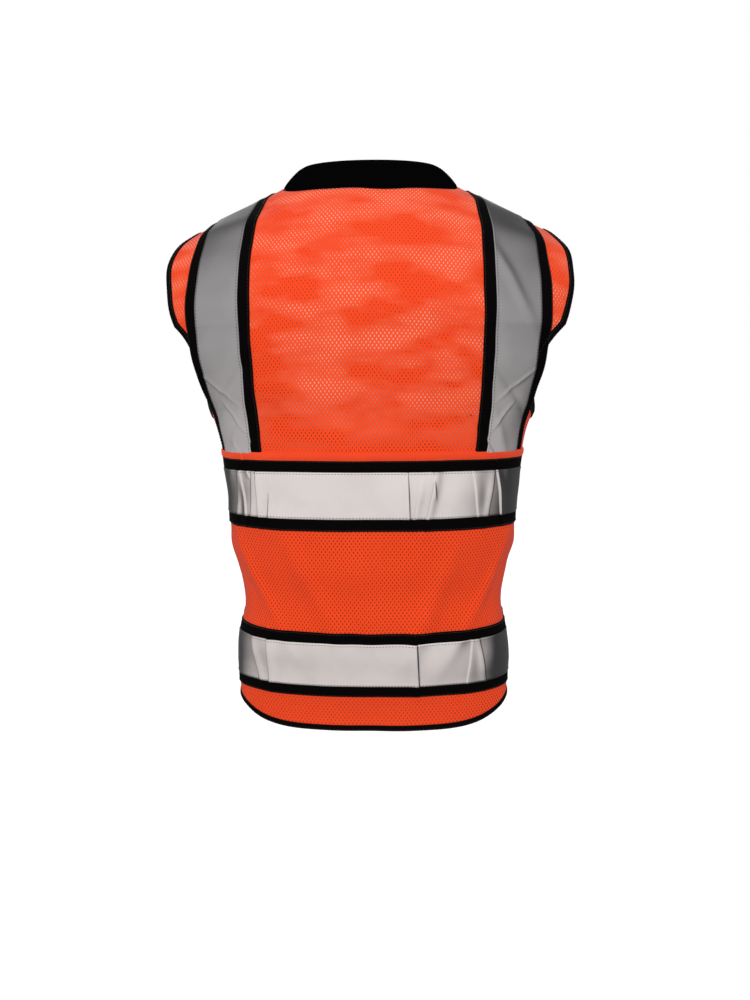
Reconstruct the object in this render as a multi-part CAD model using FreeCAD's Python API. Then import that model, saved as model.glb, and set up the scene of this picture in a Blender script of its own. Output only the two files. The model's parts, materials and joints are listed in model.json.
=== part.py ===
import FreeCAD, Part
import math
import os

# High visibility vest, worn shape, in millimetres.
# +Z is up, the wearer faces -Y and the wearer's left is +X.
# The origin is at the height of the hem, in the middle of the body.
# side is +1 for the back half of the body and -1 for the front half.

V = FreeCAD.Vector
BACK = 1
FRONT = -1
LEFT = 1
RIGHT = -1

# Body that the vest hangs on: height, half width, depth of the back half.
BODY = [
    (-20, 151, 77),
    (0, 153, 79),
    (40, 155, 84),
    (78, 155, 92),
    (115, 150, 100),
    (143, 147, 101),
    (211, 160, 112),
    (280, 166, 115),
    (349, 181, 119),
    (398, 218, 123),
    (448, 250, 125.5),
]
FRONT_DEPTH_AT_HEM = 100.0
FRONT_SLOPE = 0.03
CHEST_Z = 448.0
BACK_ROUNDNESS = 2.4
FRONT_ROUNDNESS = 2.5
BACK_SHOULDER_ROUNDNESS = 1.9
FRONT_SHOULDER_ROUNDNESS = 2.3
TURN_LENGTH = 180.0

# Neck and shoulder line.
NECK_HALF_WIDTH = 95.0
NECK_POINT_Z = 599.0
NECK_TOOL_RISE = 60.0
NECK_TOOL_DEPTH = 160.0
SHOULDER_SLOPE = 0.49
BACK_NECK_Z = 587.0
FRONT_NECK_Z = 478.0
FRONT_NECK_CURVE = 1.25

# Rib collar. It leans in from the neckline to a smaller ring at its top.
COLLAR_TOP_HALF_WIDTH = 75.0
COLLAR_TOP_Z = 616.0
COLLAR_LEAN = 0.85
COLLAR_FRONT_RISE = 26.0
COLLAR_FRONT_SPREAD = 9.0
COLLAR_FRONT_SETBACK = 6.0
COLLAR_THICKNESS = 3.0
COLLAR_CROWN = 1.2
NECK_CENTRE = 30.0

# Armhole: an egg seen from the side, with its narrow end at the shoulder.
ARMHOLE_CENTRE_Z = 448.0
ARMHOLE_HALF_HEIGHT = 99.0
ARMHOLE_HALF_WIDTH = 80.0
ARMHOLE_TAPER = 0.35
ARMHOLE_REACH = 250.0
BINDING_WIDTH = 8.0
BINDING_THICKNESS = 2.6
HEM_BINDING_WIDTH = 4.0

# Cloth thicknesses and the clear gap kept between two pieces.
MESH = 1.6
WEBBING = 1.2
TAPE = 0.7
GAP = 0.9
TRIMMER_OVERLAP = 0.4
WEBBING_LEVEL = MESH + GAP
TAPE_LEVEL = WEBBING_LEVEL + WEBBING + GAP
OVERLAY_LEVEL = TAPE_LEVEL + TAPE + GAP

# Reflective trim: 2 in tape on 3 in webbing.
WEBBING_WIDTH = 76.2
TAPE_WIDTH = 50.8
TAPE_MARGIN = (WEBBING_WIDTH - TAPE_WIDTH) / 2
UPPER_BAND_Z = 226.5
LOWER_BAND_Z = 40.0
FRONT_BAND_RISE = 6.0
FOLD_HEIGHT = 8.0
HEM_Z = 5.1
HEM_RISE_AT_SIDE = 24.0

# Inner edge of the vertical trims: height along the body, distance from the centre.
TRIM_PATH = [(308, 113), (378, 118), (458, 121), (538, 118), (628, 104)]

# Zipper down the centre front.
ZIP_BOTTOM_Z = 12.0
ZIP_TOP_Z = 470.0
ZIP_SETBACK = 2.0
FRONT_EDGE = 7.5
ZIP_TAPE_WIDTH = 15.0
ZIP_TAPE_THICKNESS = 0.9
ZIP_TAPE_START = 4.8
TOOTH_PITCH = 5.0
TOOTH_HEIGHT = 1.9
TOOTH_DEPTH = 2.8
TOOTH_REACH = 1.3
TOOTH_ROOT = 4.4
TOOTH_COUNT = 83
FIRST_TOOTH = 16.0
STOP_HEIGHT = 3.0
PIN_LENGTH = 14.0
BOX_HEIGHT = 12.0
BOX_EXTRA_DEPTH = 0.6

# Slider and its pull tab.
SLIDER_WIDTH = 12.4
SLIDER_LENGTH = 15.0
SLIDER_WALL = 1.3
SLIDER_CLEARANCE = 0.5
SLIDER_BELOW_TOP = 10.0
WEDGE_HALF_WIDTH = 1.4
WEDGE_LENGTH = 5.0
LUG_INNER = 2.2
LUG_WIDTH = 1.2
LUG_LENGTH = 5.0
LUG_RISE = 3.4
LUG_START = 4.0
PIVOT_RISE = 2.1
PIVOT_HEIGHT = 6.5
PIVOT_PIN_RADIUS = 0.7
EYE_BORE_RADIUS = 0.8
EYE_RADIUS = 1.25
PULL_NECK_HALF_WIDTH = 1.9
PULL_NECK_LENGTH = 6.0
PULL_LENGTH = 32.0
PULL_WIDTH = 7.0
PULL_THICKNESS = 1.6
PULL_CORNER_RADIUS = 2.2

# Pockets: distance from centre (low, high) and height (low, high).
RADIO_POCKET = (24.0, 96.0, 340.0, 462.0)
PEN_POCKET = (24.0, 96.0, 340.0, 450.0)
LOWER_POCKET = (26.0, 118.0, 136.0, 222.0)
RADIO_SWELL = 6.5
PEN_SWELL = 3.0
LOWER_SWELL = 6.0
POCKET_WALL = 1.2
POCKET_EDGE = 3 * POCKET_WALL
ROOM_OVERSHOOT = 2.0
FLAP_TOP_Z = 478.0
FLAP_HEIGHT = 46.0
FLAP_OVERHANG = 2.0
FLAP_THICKNESS = 1.6
FLAP_CORNER = 9.0
FLAP_STAND_OFF = 6.5
FLAP_LOWER_STAND_OFF = 13.0
PATCH_WIDTH = 22.0
PATCH_HEIGHT = 11.0
PATCH_THICKNESS = 0.8
PATCH_GAP = 0.1
PATCH_BELOW_MOUTH = 24.0

# Small parts at the neck and shoulders.
HANG_LOOP_RADIUS = 9.0
HANG_LOOP_WIDTH = 8.0
HANG_LOOP_WALL = 1.5
HANG_LOOP_INSET = 6.0
LABEL_WIDTH = 46.0
LABEL_HEIGHT = 30.0
NECK_TAPE_WIDTH = 10.0
NECK_TAPE_INSET = 3.0
NECK_TAPE_SHORT = 8.0
MIC_TAB_LENGTH = 50.0
MIC_TAB_WIDTH = 18.0
MIC_TAB_TOP_Z = 512.0
MIC_TAB_START = 7.0

SEW_TOLERANCE = 0.05
STEP = 0.25


def blend_stations(stations, z, column):
    """Smooth value of one column at height z, with a curve through every station."""
    last = len(stations) - 1
    i = 0
    while i < last - 1 and z > stations[i + 1][0]:
        i += 1
    low, high = stations[i], stations[i + 1]
    before, after = stations[max(i - 1, 0)], stations[min(i + 2, last)]
    span = high[0] - low[0]
    s = min(max((z - low[0]) / span, 0.0), 1.0)
    slope_low = (high[column] - before[column]) / (high[0] - before[0]) * span
    slope_high = (after[column] - low[column]) / (after[0] - low[0]) * span
    return (
        low[column] * (2 * s**3 - 3 * s**2 + 1)
        + slope_low * (s**3 - 2 * s**2 + s)
        + high[column] * (3 * s**2 - 2 * s**3)
        + slope_high * (s**3 - s**2)
    )


def half_width(z):
    return blend_stations(BODY, min(z, CHEST_Z), 1)


def depth(side, z):
    z = min(z, CHEST_Z)
    if side == FRONT:
        return FRONT_DEPTH_AT_HEM + FRONT_SLOPE * z
    return blend_stations(BODY, z, 2)


def roundness(side):
    return BACK_ROUNDNESS if side == BACK else FRONT_ROUNDNESS


def shoulder_roundness(side):
    return BACK_SHOULDER_ROUNDNESS if side == BACK else FRONT_SHOULDER_ROUNDNESS


def crest_z(x):
    """Height of the shoulder line, which levels off inside the neck."""
    x = abs(x)
    if x >= NECK_HALF_WIDTH:
        return NECK_POINT_Z - SHOULDER_SLOPE * (x - NECK_HALF_WIDTH)
    rise = SHOULDER_SLOPE * NECK_HALF_WIDTH / 2
    return NECK_POINT_Z + rise * (1 - (x / NECK_HALF_WIDTH) ** 2)


def body_point(side, phi, level):
    """Point on the body. phi runs from the right seam (-90) to the left seam (90).

    level is the height up to the chest. Past the chest it goes on over the shoulder,
    and reaches the shoulder line at CHEST_Z + TURN_LENGTH.
    """
    n = roundness(side)
    z = min(level, CHEST_Z)
    angle = math.radians(phi)
    x = half_width(z) * math.copysign(abs(math.sin(angle)) ** (2 / n), phi)
    y = depth(side, z) * max(math.cos(angle), 0.0) ** (2 / n)
    if level > CHEST_Z:
        m = shoulder_roundness(side)
        turn = math.radians(min((level - CHEST_Z) / TURN_LENGTH, 1.0) * 90)
        z = CHEST_Z + (crest_z(x) - CHEST_Z) * math.sin(turn) ** (2 / m)
        y *= max(math.cos(turn), 0.0) ** (2 / m)
    return V(x, side * y, z)


def body_normal(side, phi, level):
    """Outward unit normal of the body, by differences that stay inside its edges."""
    phi_low, phi_high = max(phi - STEP, -90), min(phi + STEP, 90)
    level_low, level_high = level - STEP, min(level + STEP, CHEST_Z + TURN_LENGTH)
    across = body_point(side, phi_high, level) - body_point(side, phi_low, level)
    up = body_point(side, phi, level_high) - body_point(side, phi, level_low)
    normal = up.cross(across) * side
    return normal.normalize()


def phi_at_x(side, x, level):
    """The phi whose point lies x from the centre."""
    share = min(abs(x) / half_width(level), 1.0)
    return math.copysign(math.degrees(math.asin(share ** (roundness(side) / 2))), x)


def seam_phi(side, level):
    """The phi that stops just short of the side seam."""
    share = GAP / 2 / depth(side, level)
    return math.degrees(math.acos(share ** (roundness(side) / 2)))


def level_at_z(side, x, z):
    """The level whose point lies at height z, for a point x from the centre."""
    if z <= CHEST_Z:
        return z
    share = min((z - CHEST_Z) / (crest_z(x) - CHEST_Z), 1.0)
    turn = math.asin(share ** (shoulder_roundness(side) / 2))
    return CHEST_Z + TURN_LENGTH * math.degrees(turn) / 90


def shoulder_level(side, phi):
    """The level that stops just short of the shoulder seam."""
    base = max(abs(body_point(side, phi, CHEST_Z).y), GAP)
    turn = math.acos((GAP / 2 / base) ** (shoulder_roundness(side) / 2))
    return CHEST_Z + TURN_LENGTH * math.degrees(turn) / 90


def level_after(side, level, distance):
    """The level reached by walking up the centre line for a distance."""
    here = body_point(side, 0, level)
    walked = 0.0
    while walked < distance:
        level += STEP
        there = body_point(side, 0, level)
        walked += (there - here).Length
        here = there
    return level


def span(low, high, count):
    return [low + (high - low) * i / (count - 1) for i in range(count)]


def surface_face(rows):
    surface = Part.BSplineSurface()
    surface.interpolate(rows)
    return surface.toShape()


def ruled_side(points_a, points_b, face_a, face_b):
    """The face that joins the same border of two sheets, found by its end points."""

    def border(face, points):
        def miss(edge):
            ends = [v.Point for v in edge.Vertexes]
            a, b = points[0], points[-1]
            middle = edge.valueAt((edge.FirstParameter + edge.LastParameter) / 2)
            straight = min(
                ends[0].distanceToPoint(a) + ends[-1].distanceToPoint(b),
                ends[0].distanceToPoint(b) + ends[-1].distanceToPoint(a),
            )
            return straight + min(middle.distanceToPoint(p) for p in points)

        return min(face.Edges, key=miss)

    return Part.makeRuledSurface(border(face_a, points_a), border(face_b, points_b))


def closed_sheet(inner, outer):
    """A solid between two grids of points with the same rows and columns."""
    faces = [surface_face(inner), surface_face(outer)]
    borders = [
        (inner[0], outer[0]),
        (inner[-1], outer[-1]),
        ([row[0] for row in inner], [row[0] for row in outer]),
        ([row[-1] for row in inner], [row[-1] for row in outer]),
    ]
    for a, b in borders:
        faces.append(ruled_side(a, b, faces[0], faces[1]))
    shell = Part.makeShell(faces)
    shell.sewShape(SEW_TOLERANCE)
    solid = Part.makeSolid(shell)
    if solid.Volume < 0:
        solid.reverse()
    return solid


def cloth(side, place, columns, rows, low, high):
    """Cloth on the body from offset low to offset high, which may be functions.

    place turns a column share and a row share, both 0 to 1, into phi and level.
    """
    inner, outer = [], []
    for r in span(0, 1, rows):
        inner_row, outer_row = [], []
        for c in span(0, 1, columns):
            phi, level = place(c, r)
            point = body_point(side, phi, level)
            normal = body_normal(side, phi, level)
            low_here = low(c, r) if callable(low) else low
            high_here = high(c, r) if callable(high) else high
            inner_row.append(point + normal * low_here)
            outer_row.append(point + normal * high_here)
        inner.append(inner_row)
        outer.append(outer_row)
    return closed_sheet(inner, outer)


def mirrored(shape):
    return shape.mirror(V(0, 0, 0), V(1, 0, 0))


def hem_z(phi):
    return HEM_Z + HEM_RISE_AT_SIDE * abs(math.sin(math.radians(phi))) ** 5


def armhole_yz(angle):
    """Point of the armhole's outline at an angle in degrees up from its lowest point."""
    turn = math.radians(angle)
    taper = 1 + ARMHOLE_TAPER * math.cos(turn)
    y = ARMHOLE_HALF_WIDTH * math.sin(turn) * taper
    return y, ARMHOLE_CENTRE_Z - ARMHOLE_HALF_HEIGHT * math.cos(turn)


def armhole_tool():
    """A bar with the armhole's outline as its section, out through the left side."""
    outline = Part.BSplineCurve()
    points = [V(NECK_HALF_WIDTH + 20, *armhole_yz(angle)) for angle in range(0, 360, 10)]
    outline.interpolate(points, PeriodicFlag=True)
    face = Part.Face(Part.Wire(outline.toShape()))
    return face.extrude(V(ARMHOLE_REACH, 0, 0))


def neck_z(side, x):
    """Height of the neckline: a round back, and a front that drops in a V."""
    share = min(abs(x) / NECK_HALF_WIDTH, 1.0)
    if side == BACK:
        return NECK_POINT_Z - (NECK_POINT_Z - BACK_NECK_Z) * math.sqrt(1 - share**2)
    return FRONT_NECK_Z + (NECK_POINT_Z - FRONT_NECK_Z) * share**FRONT_NECK_CURVE


def neck_tool(side):
    """Everything above the neckline, on one side of the shoulder line."""
    points = []
    for x in span(-NECK_HALF_WIDTH, NECK_HALF_WIDTH, 25):
        points.append(V(x, 0, neck_z(side, x)))
    points[0].x -= GAP
    points[-1].x += GAP
    top = NECK_POINT_Z + NECK_TOOL_RISE
    corners = [V(points[-1].x, 0, top), V(points[0].x, 0, top)]
    face = Part.Face(Part.makePolygon(points + corners + [points[0]]))
    return face.extrude(V(0, side * NECK_TOOL_DEPTH, 0))


def upper_band_top(side):
    rise = FRONT_BAND_RISE if side == FRONT else 0
    return level_after(side, UPPER_BAND_Z + rise, WEBBING_WIDTH)


def back_upper_mesh_panel():
    bottom = upper_band_top(BACK) + GAP

    def place(c, r):
        phi_share = 2 * c - 1
        top = shoulder_level(BACK, phi_share * 88)
        level = bottom + (top - bottom) * r
        return phi_share * seam_phi(BACK, min(level, CHEST_Z)), level

    panel = cloth(BACK, place, 33, 33, 0, MESH)
    panel = panel.cut(neck_tool(BACK))
    for tool in (armhole_tool(), armhole_trimmer(BACK)):
        panel = panel.cut(tool)
        panel = panel.cut(mirrored(tool))
    return largest_solid(panel)


def largest_solid(shape):
    return max(shape.Solids, key=lambda solid: solid.Volume)


def back_lower_mesh_panel():
    top = upper_band_top(BACK)

    def place(c, r):
        phi = (2 * c - 1) * 89
        low = hem_z(phi)
        level = low + (top - low) * r
        return (2 * c - 1) * seam_phi(BACK, level), level

    return cloth(BACK, place, 25, 15, 0, MESH)


def front_mesh_panel():
    def place(c, r):
        low = hem_z(c * 89)
        top = shoulder_level(FRONT, 6 + c * 82)
        level = low + (top - low) * r
        start = phi_at_x(FRONT, FRONT_EDGE, level)
        return start + (seam_phi(FRONT, min(level, CHEST_Z)) - start) * c, level

    panel = cloth(FRONT, place, 19, 41, 0, MESH)
    panel = panel.cut(neck_tool(FRONT))
    panel = panel.cut(armhole_tool())
    panel = panel.cut(armhole_trimmer(FRONT))
    return largest_solid(panel)


def band_start(side, level):
    """A back band starts at the right seam, and a front one beside the zipper."""
    if side == BACK:
        return -seam_phi(BACK, level)
    return phi_at_x(FRONT, FRONT_EDGE, level)


def band(side, low_z, width, offset, thickness):
    """A horizontal band that ends at the left seam."""
    high_z = level_after(side, low_z, width)

    def place(c, r):
        level = low_z + (high_z - low_z) * r
        start = band_start(side, level)
        return start + (seam_phi(side, level) - start) * c, level

    columns = 25 if side == BACK else 15
    return cloth(side, place, columns, 4, offset, offset + thickness)


def banded(side, low_z, name, suffix=""):
    """The webbing and the tape of one band."""
    tape_z = level_after(side, low_z, TAPE_MARGIN)
    return {
        f"{name}_webbing{suffix}": band(side, low_z, WEBBING_WIDTH, WEBBING_LEVEL, WEBBING),
        f"{name}_tape{suffix}": band(side, tape_z, TAPE_WIDTH, TAPE_LEVEL, TAPE),
    }


def waist_fold():
    """The folded top hem of the lower back panel."""

    bottom = upper_band_top(BACK) + GAP

    def place(c, r):
        level = bottom + FOLD_HEIGHT * r
        return (2 * c - 1) * seam_phi(BACK, level), level

    return cloth(BACK, place, 25, 3, WEBBING_LEVEL, WEBBING_LEVEL + 2 * WEBBING)


def trim_x(level):
    return blend_stations(TRIM_PATH, level, 1)


def phi_after(side, phi, level, distance):
    """The phi reached by walking round the body for a distance at one level."""
    here = body_point(side, phi, level)
    walked = 0.0
    while walked < distance and phi < 89:
        phi += STEP
        there = body_point(side, phi, level)
        walked += (there - here).Length
        here = there
    return phi


def trim(side, bottom, margin, width, offset, thickness):
    """A vertical trim from the waist to the shoulder seam."""

    def place(c, r):
        level = bottom + (CHEST_Z + TURN_LENGTH - bottom) * r
        start = phi_after(side, phi_at_x(side, trim_x(level), level), level, margin)
        phi = phi_after(side, start, level, width * c) if c else start
        return phi, min(level, shoulder_level(side, phi))

    return cloth(side, place, 6, 21, offset, offset + thickness)


def trims(side, name):
    """The webbing and the tape of the left vertical trim."""
    fold = FOLD_HEIGHT + GAP if side == BACK else 0
    bottom = upper_band_top(side) + fold + GAP
    webbing = trim(side, bottom, 0, WEBBING_WIDTH, WEBBING_LEVEL, WEBBING)
    tape = trim(side, bottom, TAPE_MARGIN, TAPE_WIDTH, TAPE_LEVEL, TAPE)
    return {
        f"{name}_shoulder_webbing_left": webbing,
        f"{name}_shoulder_tape_left": tape,
    }


def phi_at_yz(side, y, z):
    """The phi of the body point at a given y and height z."""
    low, high = 0.0, 90.0
    while high - low > 0.001:
        middle = (low + high) / 2
        x = body_point(side, middle, min(z, CHEST_Z)).x
        inside = z < crest_z(x)
        point = body_point(side, middle, level_at_z(side, x, z)) if inside else None
        if inside and abs(point.y) > y:
            low = middle
        else:
            high = middle
    return low


def armhole_edge(side, angle):
    """phi and level of the armhole's edge at an angle up from its lowest point."""
    y, z = armhole_yz(angle)
    phi = phi_at_yz(side, y, z)
    x = body_point(side, phi, min(z, CHEST_Z)).x
    return phi, level_at_z(side, x, z)


def strip_along(side, edge, steps, start, width, low, high):
    """A flat strip beside an edge, grown away from the panel in its own plane.

    edge(s) gives phi and level for s from 0 to 1, with the panel on its left.
    """
    points, normals = [], []
    for s in span(0, 1, steps):
        phi, level = edge(s)
        points.append(body_point(side, phi, level))
        normals.append(body_normal(side, phi, level))
    inner, outer = [], []
    for i, point in enumerate(points):
        along = points[min(i + 1, steps - 1)] - points[max(i - 1, 0)]
        away = along.cross(normals[i]).normalize()
        inner.append([])
        outer.append([])
        for share in (0, 0.5, 1):
            place = point + away * (start + width * share)
            inner[-1].append(place + normals[i] * low)
            outer[-1].append(place + normals[i] * high)
    return closed_sheet(inner, outer)


def armhole_strip(side, lowest, highest, start, width, low, high):
    """A strip that grows from the armhole's edge into the armhole, between two angles."""

    def edge(s):
        return armhole_edge(side, lowest + (highest - lowest) * s)

    away = 1 if side == FRONT else -1
    return strip_along(side, edge, 31, away * start, away * width, low, high)


def armhole_trimmer(side):
    """Clears the room beside the armhole's edge, square to the cloth.

    It reaches a little into the panel, so its wall never runs along the bar's.
    """
    width = BINDING_WIDTH + 4
    return armhole_strip(side, 0.8, 178.8, -TRIMMER_OVERLAP, width, -4, MESH + 4)


def armhole_binding(side):
    low = (MESH - BINDING_THICKNESS) / 2
    return armhole_strip(side, 3.2, 175.8, GAP, BINDING_WIDTH, low, low + BINDING_THICKNESS)


def hem_binding(side):
    """The binding below the hem, which runs from the zipper on the front."""
    low = (MESH - BINDING_THICKNESS) / 2
    seam = seam_phi(side, 0)
    start = phi_at_x(FRONT, FRONT_EDGE, 0) if side == FRONT else -seam

    def edge(s):
        phi = start + (seam - start) * s
        return phi, hem_z(phi)

    down = 1 if side == FRONT else -1
    start_at, width = down * GAP, down * HEM_BINDING_WIDTH
    return strip_along(side, edge, 31, start_at, width, low, low + BINDING_THICKNESS)


def neckline_point(side, x):
    level = level_at_z(side, x, neck_z(side, x))
    return body_point(side, phi_at_x(side, x, min(level, CHEST_Z)), level)


def collar_rows(side, xs):
    """Base and top of the collar at distances xs from the centre."""
    base, top = [], []
    for x in xs:
        point = neckline_point(side, x)
        point.y = side * max(abs(point.y), GAP / 2)
        share = x / NECK_HALF_WIDTH
        goal = V(share * COLLAR_TOP_HALF_WIDTH, point.y * COLLAR_LEAN, COLLAR_TOP_Z)
        if side == FRONT:
            flat = V(x - COLLAR_FRONT_SPREAD * share, point.y, point.z)
            flat += V(0, COLLAR_FRONT_SETBACK, COLLAR_FRONT_RISE)
            goal = flat * (1 - share**3) + goal * share**3
        rise = (goal - point).normalize()
        base.append(point + rise * (GAP + MESH))
        top.append(goal)
    return base, top


def collar(side):
    """A rib-knit band that leans in from the neckline, with points closest at the neck."""
    if side == BACK:
        shares = span(-1, 1, 33)
        xs = [math.copysign(NECK_HALF_WIDTH * (1 - (1 - abs(s)) ** 4), s) for s in shares]
    else:
        reach = NECK_HALF_WIDTH - FRONT_EDGE
        xs = [NECK_HALF_WIDTH - reach * s**2.3 for s in span(0, 1, 21)]
    base, top = collar_rows(side, xs)
    inner, outer = [], []
    for i in range(len(base)):
        along = base[min(i + 1, len(base) - 1)] - base[max(i - 1, 0)]
        rise = top[i] - base[i]
        out = rise.cross(along).normalize()
        if out.dot(V(base[i].x, base[i].y + NECK_CENTRE, 0)) < 0:
            out = out * -1
        inner.append([])
        outer.append([])
        for share in (0, 0.5, 1):
            crown = out * (COLLAR_CROWN * (1 - (2 * share - 1) ** 2))
            place = base[i] + rise * share + crown
            inner[-1].append(place)
            outer[-1].append(place + out * COLLAR_THICKNESS)
    return closed_sheet(inner, outer)


def patch(side, x_low, x_high, z_low, z_high, low, high):
    """A rectangle of cloth at distances from the centre and heights."""

    def place(c, r):
        x = x_low + (x_high - x_low) * c
        z = z_low + (z_high - z_low) * r
        level = level_at_z(side, x, z)
        return phi_at_x(side, x, level), level

    return cloth(side, place, 7, 9, low, high)


def pocket_swell(swell, c, r):
    """Offset of a pocket's outer face, which is fullest in the middle."""
    bulge = math.sin(math.pi * c) ** 0.5 * math.sin(math.pi * min(r, 1.0)) ** 1.5
    return WEBBING_LEVEL + POCKET_EDGE + swell * bulge


def pocket(outline, swell):
    """A patch pocket that is open at the top."""
    x_low, x_high, z_low, z_high = outline

    def outside(c, r):
        return pocket_swell(swell, c, r)

    def inside(c, r):
        return pocket_swell(swell, c, r) - POCKET_WALL

    x_inner = (x_low + POCKET_WALL, x_high - POCKET_WALL)
    z_inner = (z_low + POCKET_WALL, z_high + ROOM_OVERSHOOT)
    shell = patch(FRONT, x_low, x_high, z_low, z_high, WEBBING_LEVEL, outside)
    room = patch(FRONT, *x_inner, *z_inner, WEBBING_LEVEL + POCKET_WALL, inside)
    return largest_solid(shell.cut(room))


def flap_frame():
    """Corner, sideways, hanging and outward directions and length of the pocket's flap."""
    x_low, x_high = RADIO_POCKET[0] - FLAP_OVERHANG, RADIO_POCKET[1] + FLAP_OVERHANG

    def stand_off(x, z, offset):
        level = level_at_z(FRONT, x, z)
        phi = phi_at_x(FRONT, x, level)
        return body_point(FRONT, phi, level) + body_normal(FRONT, phi, level) * offset

    start = stand_off(x_low, FLAP_TOP_Z, FLAP_STAND_OFF)
    end = stand_off(x_high, FLAP_TOP_Z, FLAP_STAND_OFF)
    low_z = FLAP_TOP_Z - FLAP_HEIGHT
    low_middle = stand_off((x_low + x_high) / 2, low_z, FLAP_LOWER_STAND_OFF)
    sideways = end - start
    length = sideways.Length
    sideways.normalize()
    hang = low_middle - (start + end) * 0.5
    hang = (hang - sideways * hang.dot(sideways)).normalize()
    out = sideways.cross(hang).normalize()
    if out.y > 0:
        out = out * -1
    return start, sideways, hang, out, length


def flat_piece(corner, sideways, hang, out, outline, thickness):
    """A flat piece from an outline of (sideways, hanging) distances."""
    points = [corner + sideways * a + hang * b for a, b in outline]
    return Part.Face(Part.makePolygon(points + [points[0]])).extrude(out * thickness)


def radio_pocket_flap():
    """A flat flap with cut corners, hung from its top edge."""
    corner, sideways, hang, out, length = flap_frame()
    outline = [
        (0, 0),
        (length, 0),
        (length, FLAP_HEIGHT - FLAP_CORNER),
        (length - FLAP_CORNER, FLAP_HEIGHT),
        (FLAP_CORNER, FLAP_HEIGHT),
        (0, FLAP_HEIGHT - FLAP_CORNER),
    ]
    return flat_piece(corner, sideways, hang, out, outline, FLAP_THICKNESS)


def flap_hook_patch():
    """The hook half of the closure, on the inside of the flap."""
    corner, sideways, hang, out, length = flap_frame()
    left = (length - PATCH_WIDTH) / 2
    low = FLAP_HEIGHT - FLAP_CORNER
    high = low - PATCH_HEIGHT
    outline = [(left, high), (left + PATCH_WIDTH, high), (left + PATCH_WIDTH, low), (left, low)]
    corner = corner - out * (PATCH_THICKNESS + PATCH_GAP)
    return flat_piece(corner, sideways, hang, out, outline, PATCH_THICKNESS)


def pocket_loop_patch():
    """The loop half of the closure, on the outside of the radio pocket."""
    x_low, x_high, z_low, z_high = RADIO_POCKET
    middle = (x_low + x_high) / 2
    bottom = z_high - PATCH_BELOW_MOUTH

    def under(c, r):
        share = (bottom + PATCH_HEIGHT * r - z_low) / (z_high - z_low)
        return pocket_swell(RADIO_SWELL, 0.5, share) + PATCH_GAP

    def over(c, r):
        return under(c, r) + PATCH_THICKNESS

    x_range = (middle - PATCH_WIDTH / 2, middle + PATCH_WIDTH / 2)
    return patch(FRONT, *x_range, bottom, bottom + PATCH_HEIGHT, under, over)


def zip_placement():
    """Zipper frame: X across, Z up the closure, on the centre front line."""
    rotation = FreeCAD.Rotation(V(1, 0, 0), math.degrees(math.atan(FRONT_SLOPE)))
    return FreeCAD.Placement(V(0, -FRONT_DEPTH_AT_HEM, 0), rotation)


def zip_middle():
    """Distance of the zipper's mid plane behind the front line of the cloth."""
    return ZIP_SETBACK + ZIP_TAPE_THICKNESS / 2


def zip_box(x, y, z):
    """A block between low and high values along each axis of the zipper frame."""
    size = (x[1] - x[0], y[1] - y[0], z[1] - z[0])
    return Part.makeBox(*size, V(x[0], y[0], z[0]))


def around(middle, thickness):
    return (middle - thickness / 2, middle + thickness / 2)


def placed(shape):
    shape.Placement = zip_placement().multiply(shape.Placement)
    return shape


def zipper_tape():
    width = (ZIP_TAPE_START, ZIP_TAPE_START + ZIP_TAPE_WIDTH)
    thickness = around(zip_middle(), ZIP_TAPE_THICKNESS)
    return placed(zip_box(width, thickness, (ZIP_BOTTOM_Z, ZIP_TOP_Z)))


def zipper_teeth(hand):
    """A row of separate moulded teeth. The two rows stand half a pitch apart."""
    depth_range = around(zip_middle(), TOOTH_DEPTH)
    lag = TOOTH_PITCH / 2 if hand == RIGHT else 0
    teeth = []
    for i in range(TOOTH_COUNT):
        z = ZIP_BOTTOM_Z + FIRST_TOOTH + i * TOOTH_PITCH + lag
        tooth = zip_box((-TOOTH_REACH, TOOTH_ROOT), depth_range, (z, z + TOOTH_HEIGHT))
        teeth.append(tooth if hand == LEFT else mirrored(tooth))
    return placed(Part.makeCompound(teeth))


def zip_end_block(z_low, z_high, extra_depth=0.0):
    """A moulded block on the edge of the left tape."""
    depth_range = around(zip_middle(), TOOTH_DEPTH + 2 * extra_depth)
    return zip_box((TOOTH_REACH / 2, TOOTH_ROOT), depth_range, (z_low, z_high))


def top_stop():
    return placed(zip_end_block(ZIP_TOP_Z - 1 - STOP_HEIGHT, ZIP_TOP_Z - 1))


def insertion_pin():
    return placed(zip_end_block(ZIP_BOTTOM_Z, ZIP_BOTTOM_Z + PIN_LENGTH))


def retainer_box():
    box = zip_end_block(ZIP_BOTTOM_Z, ZIP_BOTTOM_Z + BOX_HEIGHT, BOX_EXTRA_DEPTH)
    return placed(mirrored(box))


def slider_base_z():
    return ZIP_TOP_Z - SLIDER_BELOW_TOP - SLIDER_LENGTH


def slider_front_y():
    """The slider's outer face, seen from the front of the vest."""
    return zip_middle() - TOOTH_DEPTH / 2 - SLIDER_CLEARANCE - SLIDER_WALL


def slider_plate(sign):
    """One plate of the slider with its two flanges, in front (-1) or behind (+1)."""
    half = SLIDER_WIDTH / 2
    reach = TOOTH_DEPTH / 2 + SLIDER_CLEARANCE
    slot = ZIP_TAPE_THICKNESS / 2 + SLIDER_CLEARANCE
    height = (slider_base_z(), slider_base_z() + SLIDER_LENGTH)
    plate_y = sorted(zip_middle() + sign * d for d in (reach, reach + SLIDER_WALL))
    flange_y = sorted(zip_middle() + sign * d for d in (slot, reach))
    parts = [zip_box((-half, half), plate_y, height)]
    for x_low in (-half, half - SLIDER_WALL):
        parts.append(zip_box((x_low, x_low + SLIDER_WALL), flange_y, height))
    return parts


def pull_pivot():
    """Where the pull tab turns, in the zipper frame."""
    return V(0, slider_front_y() - PIVOT_RISE, slider_base_z() + PIVOT_HEIGHT)


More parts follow.
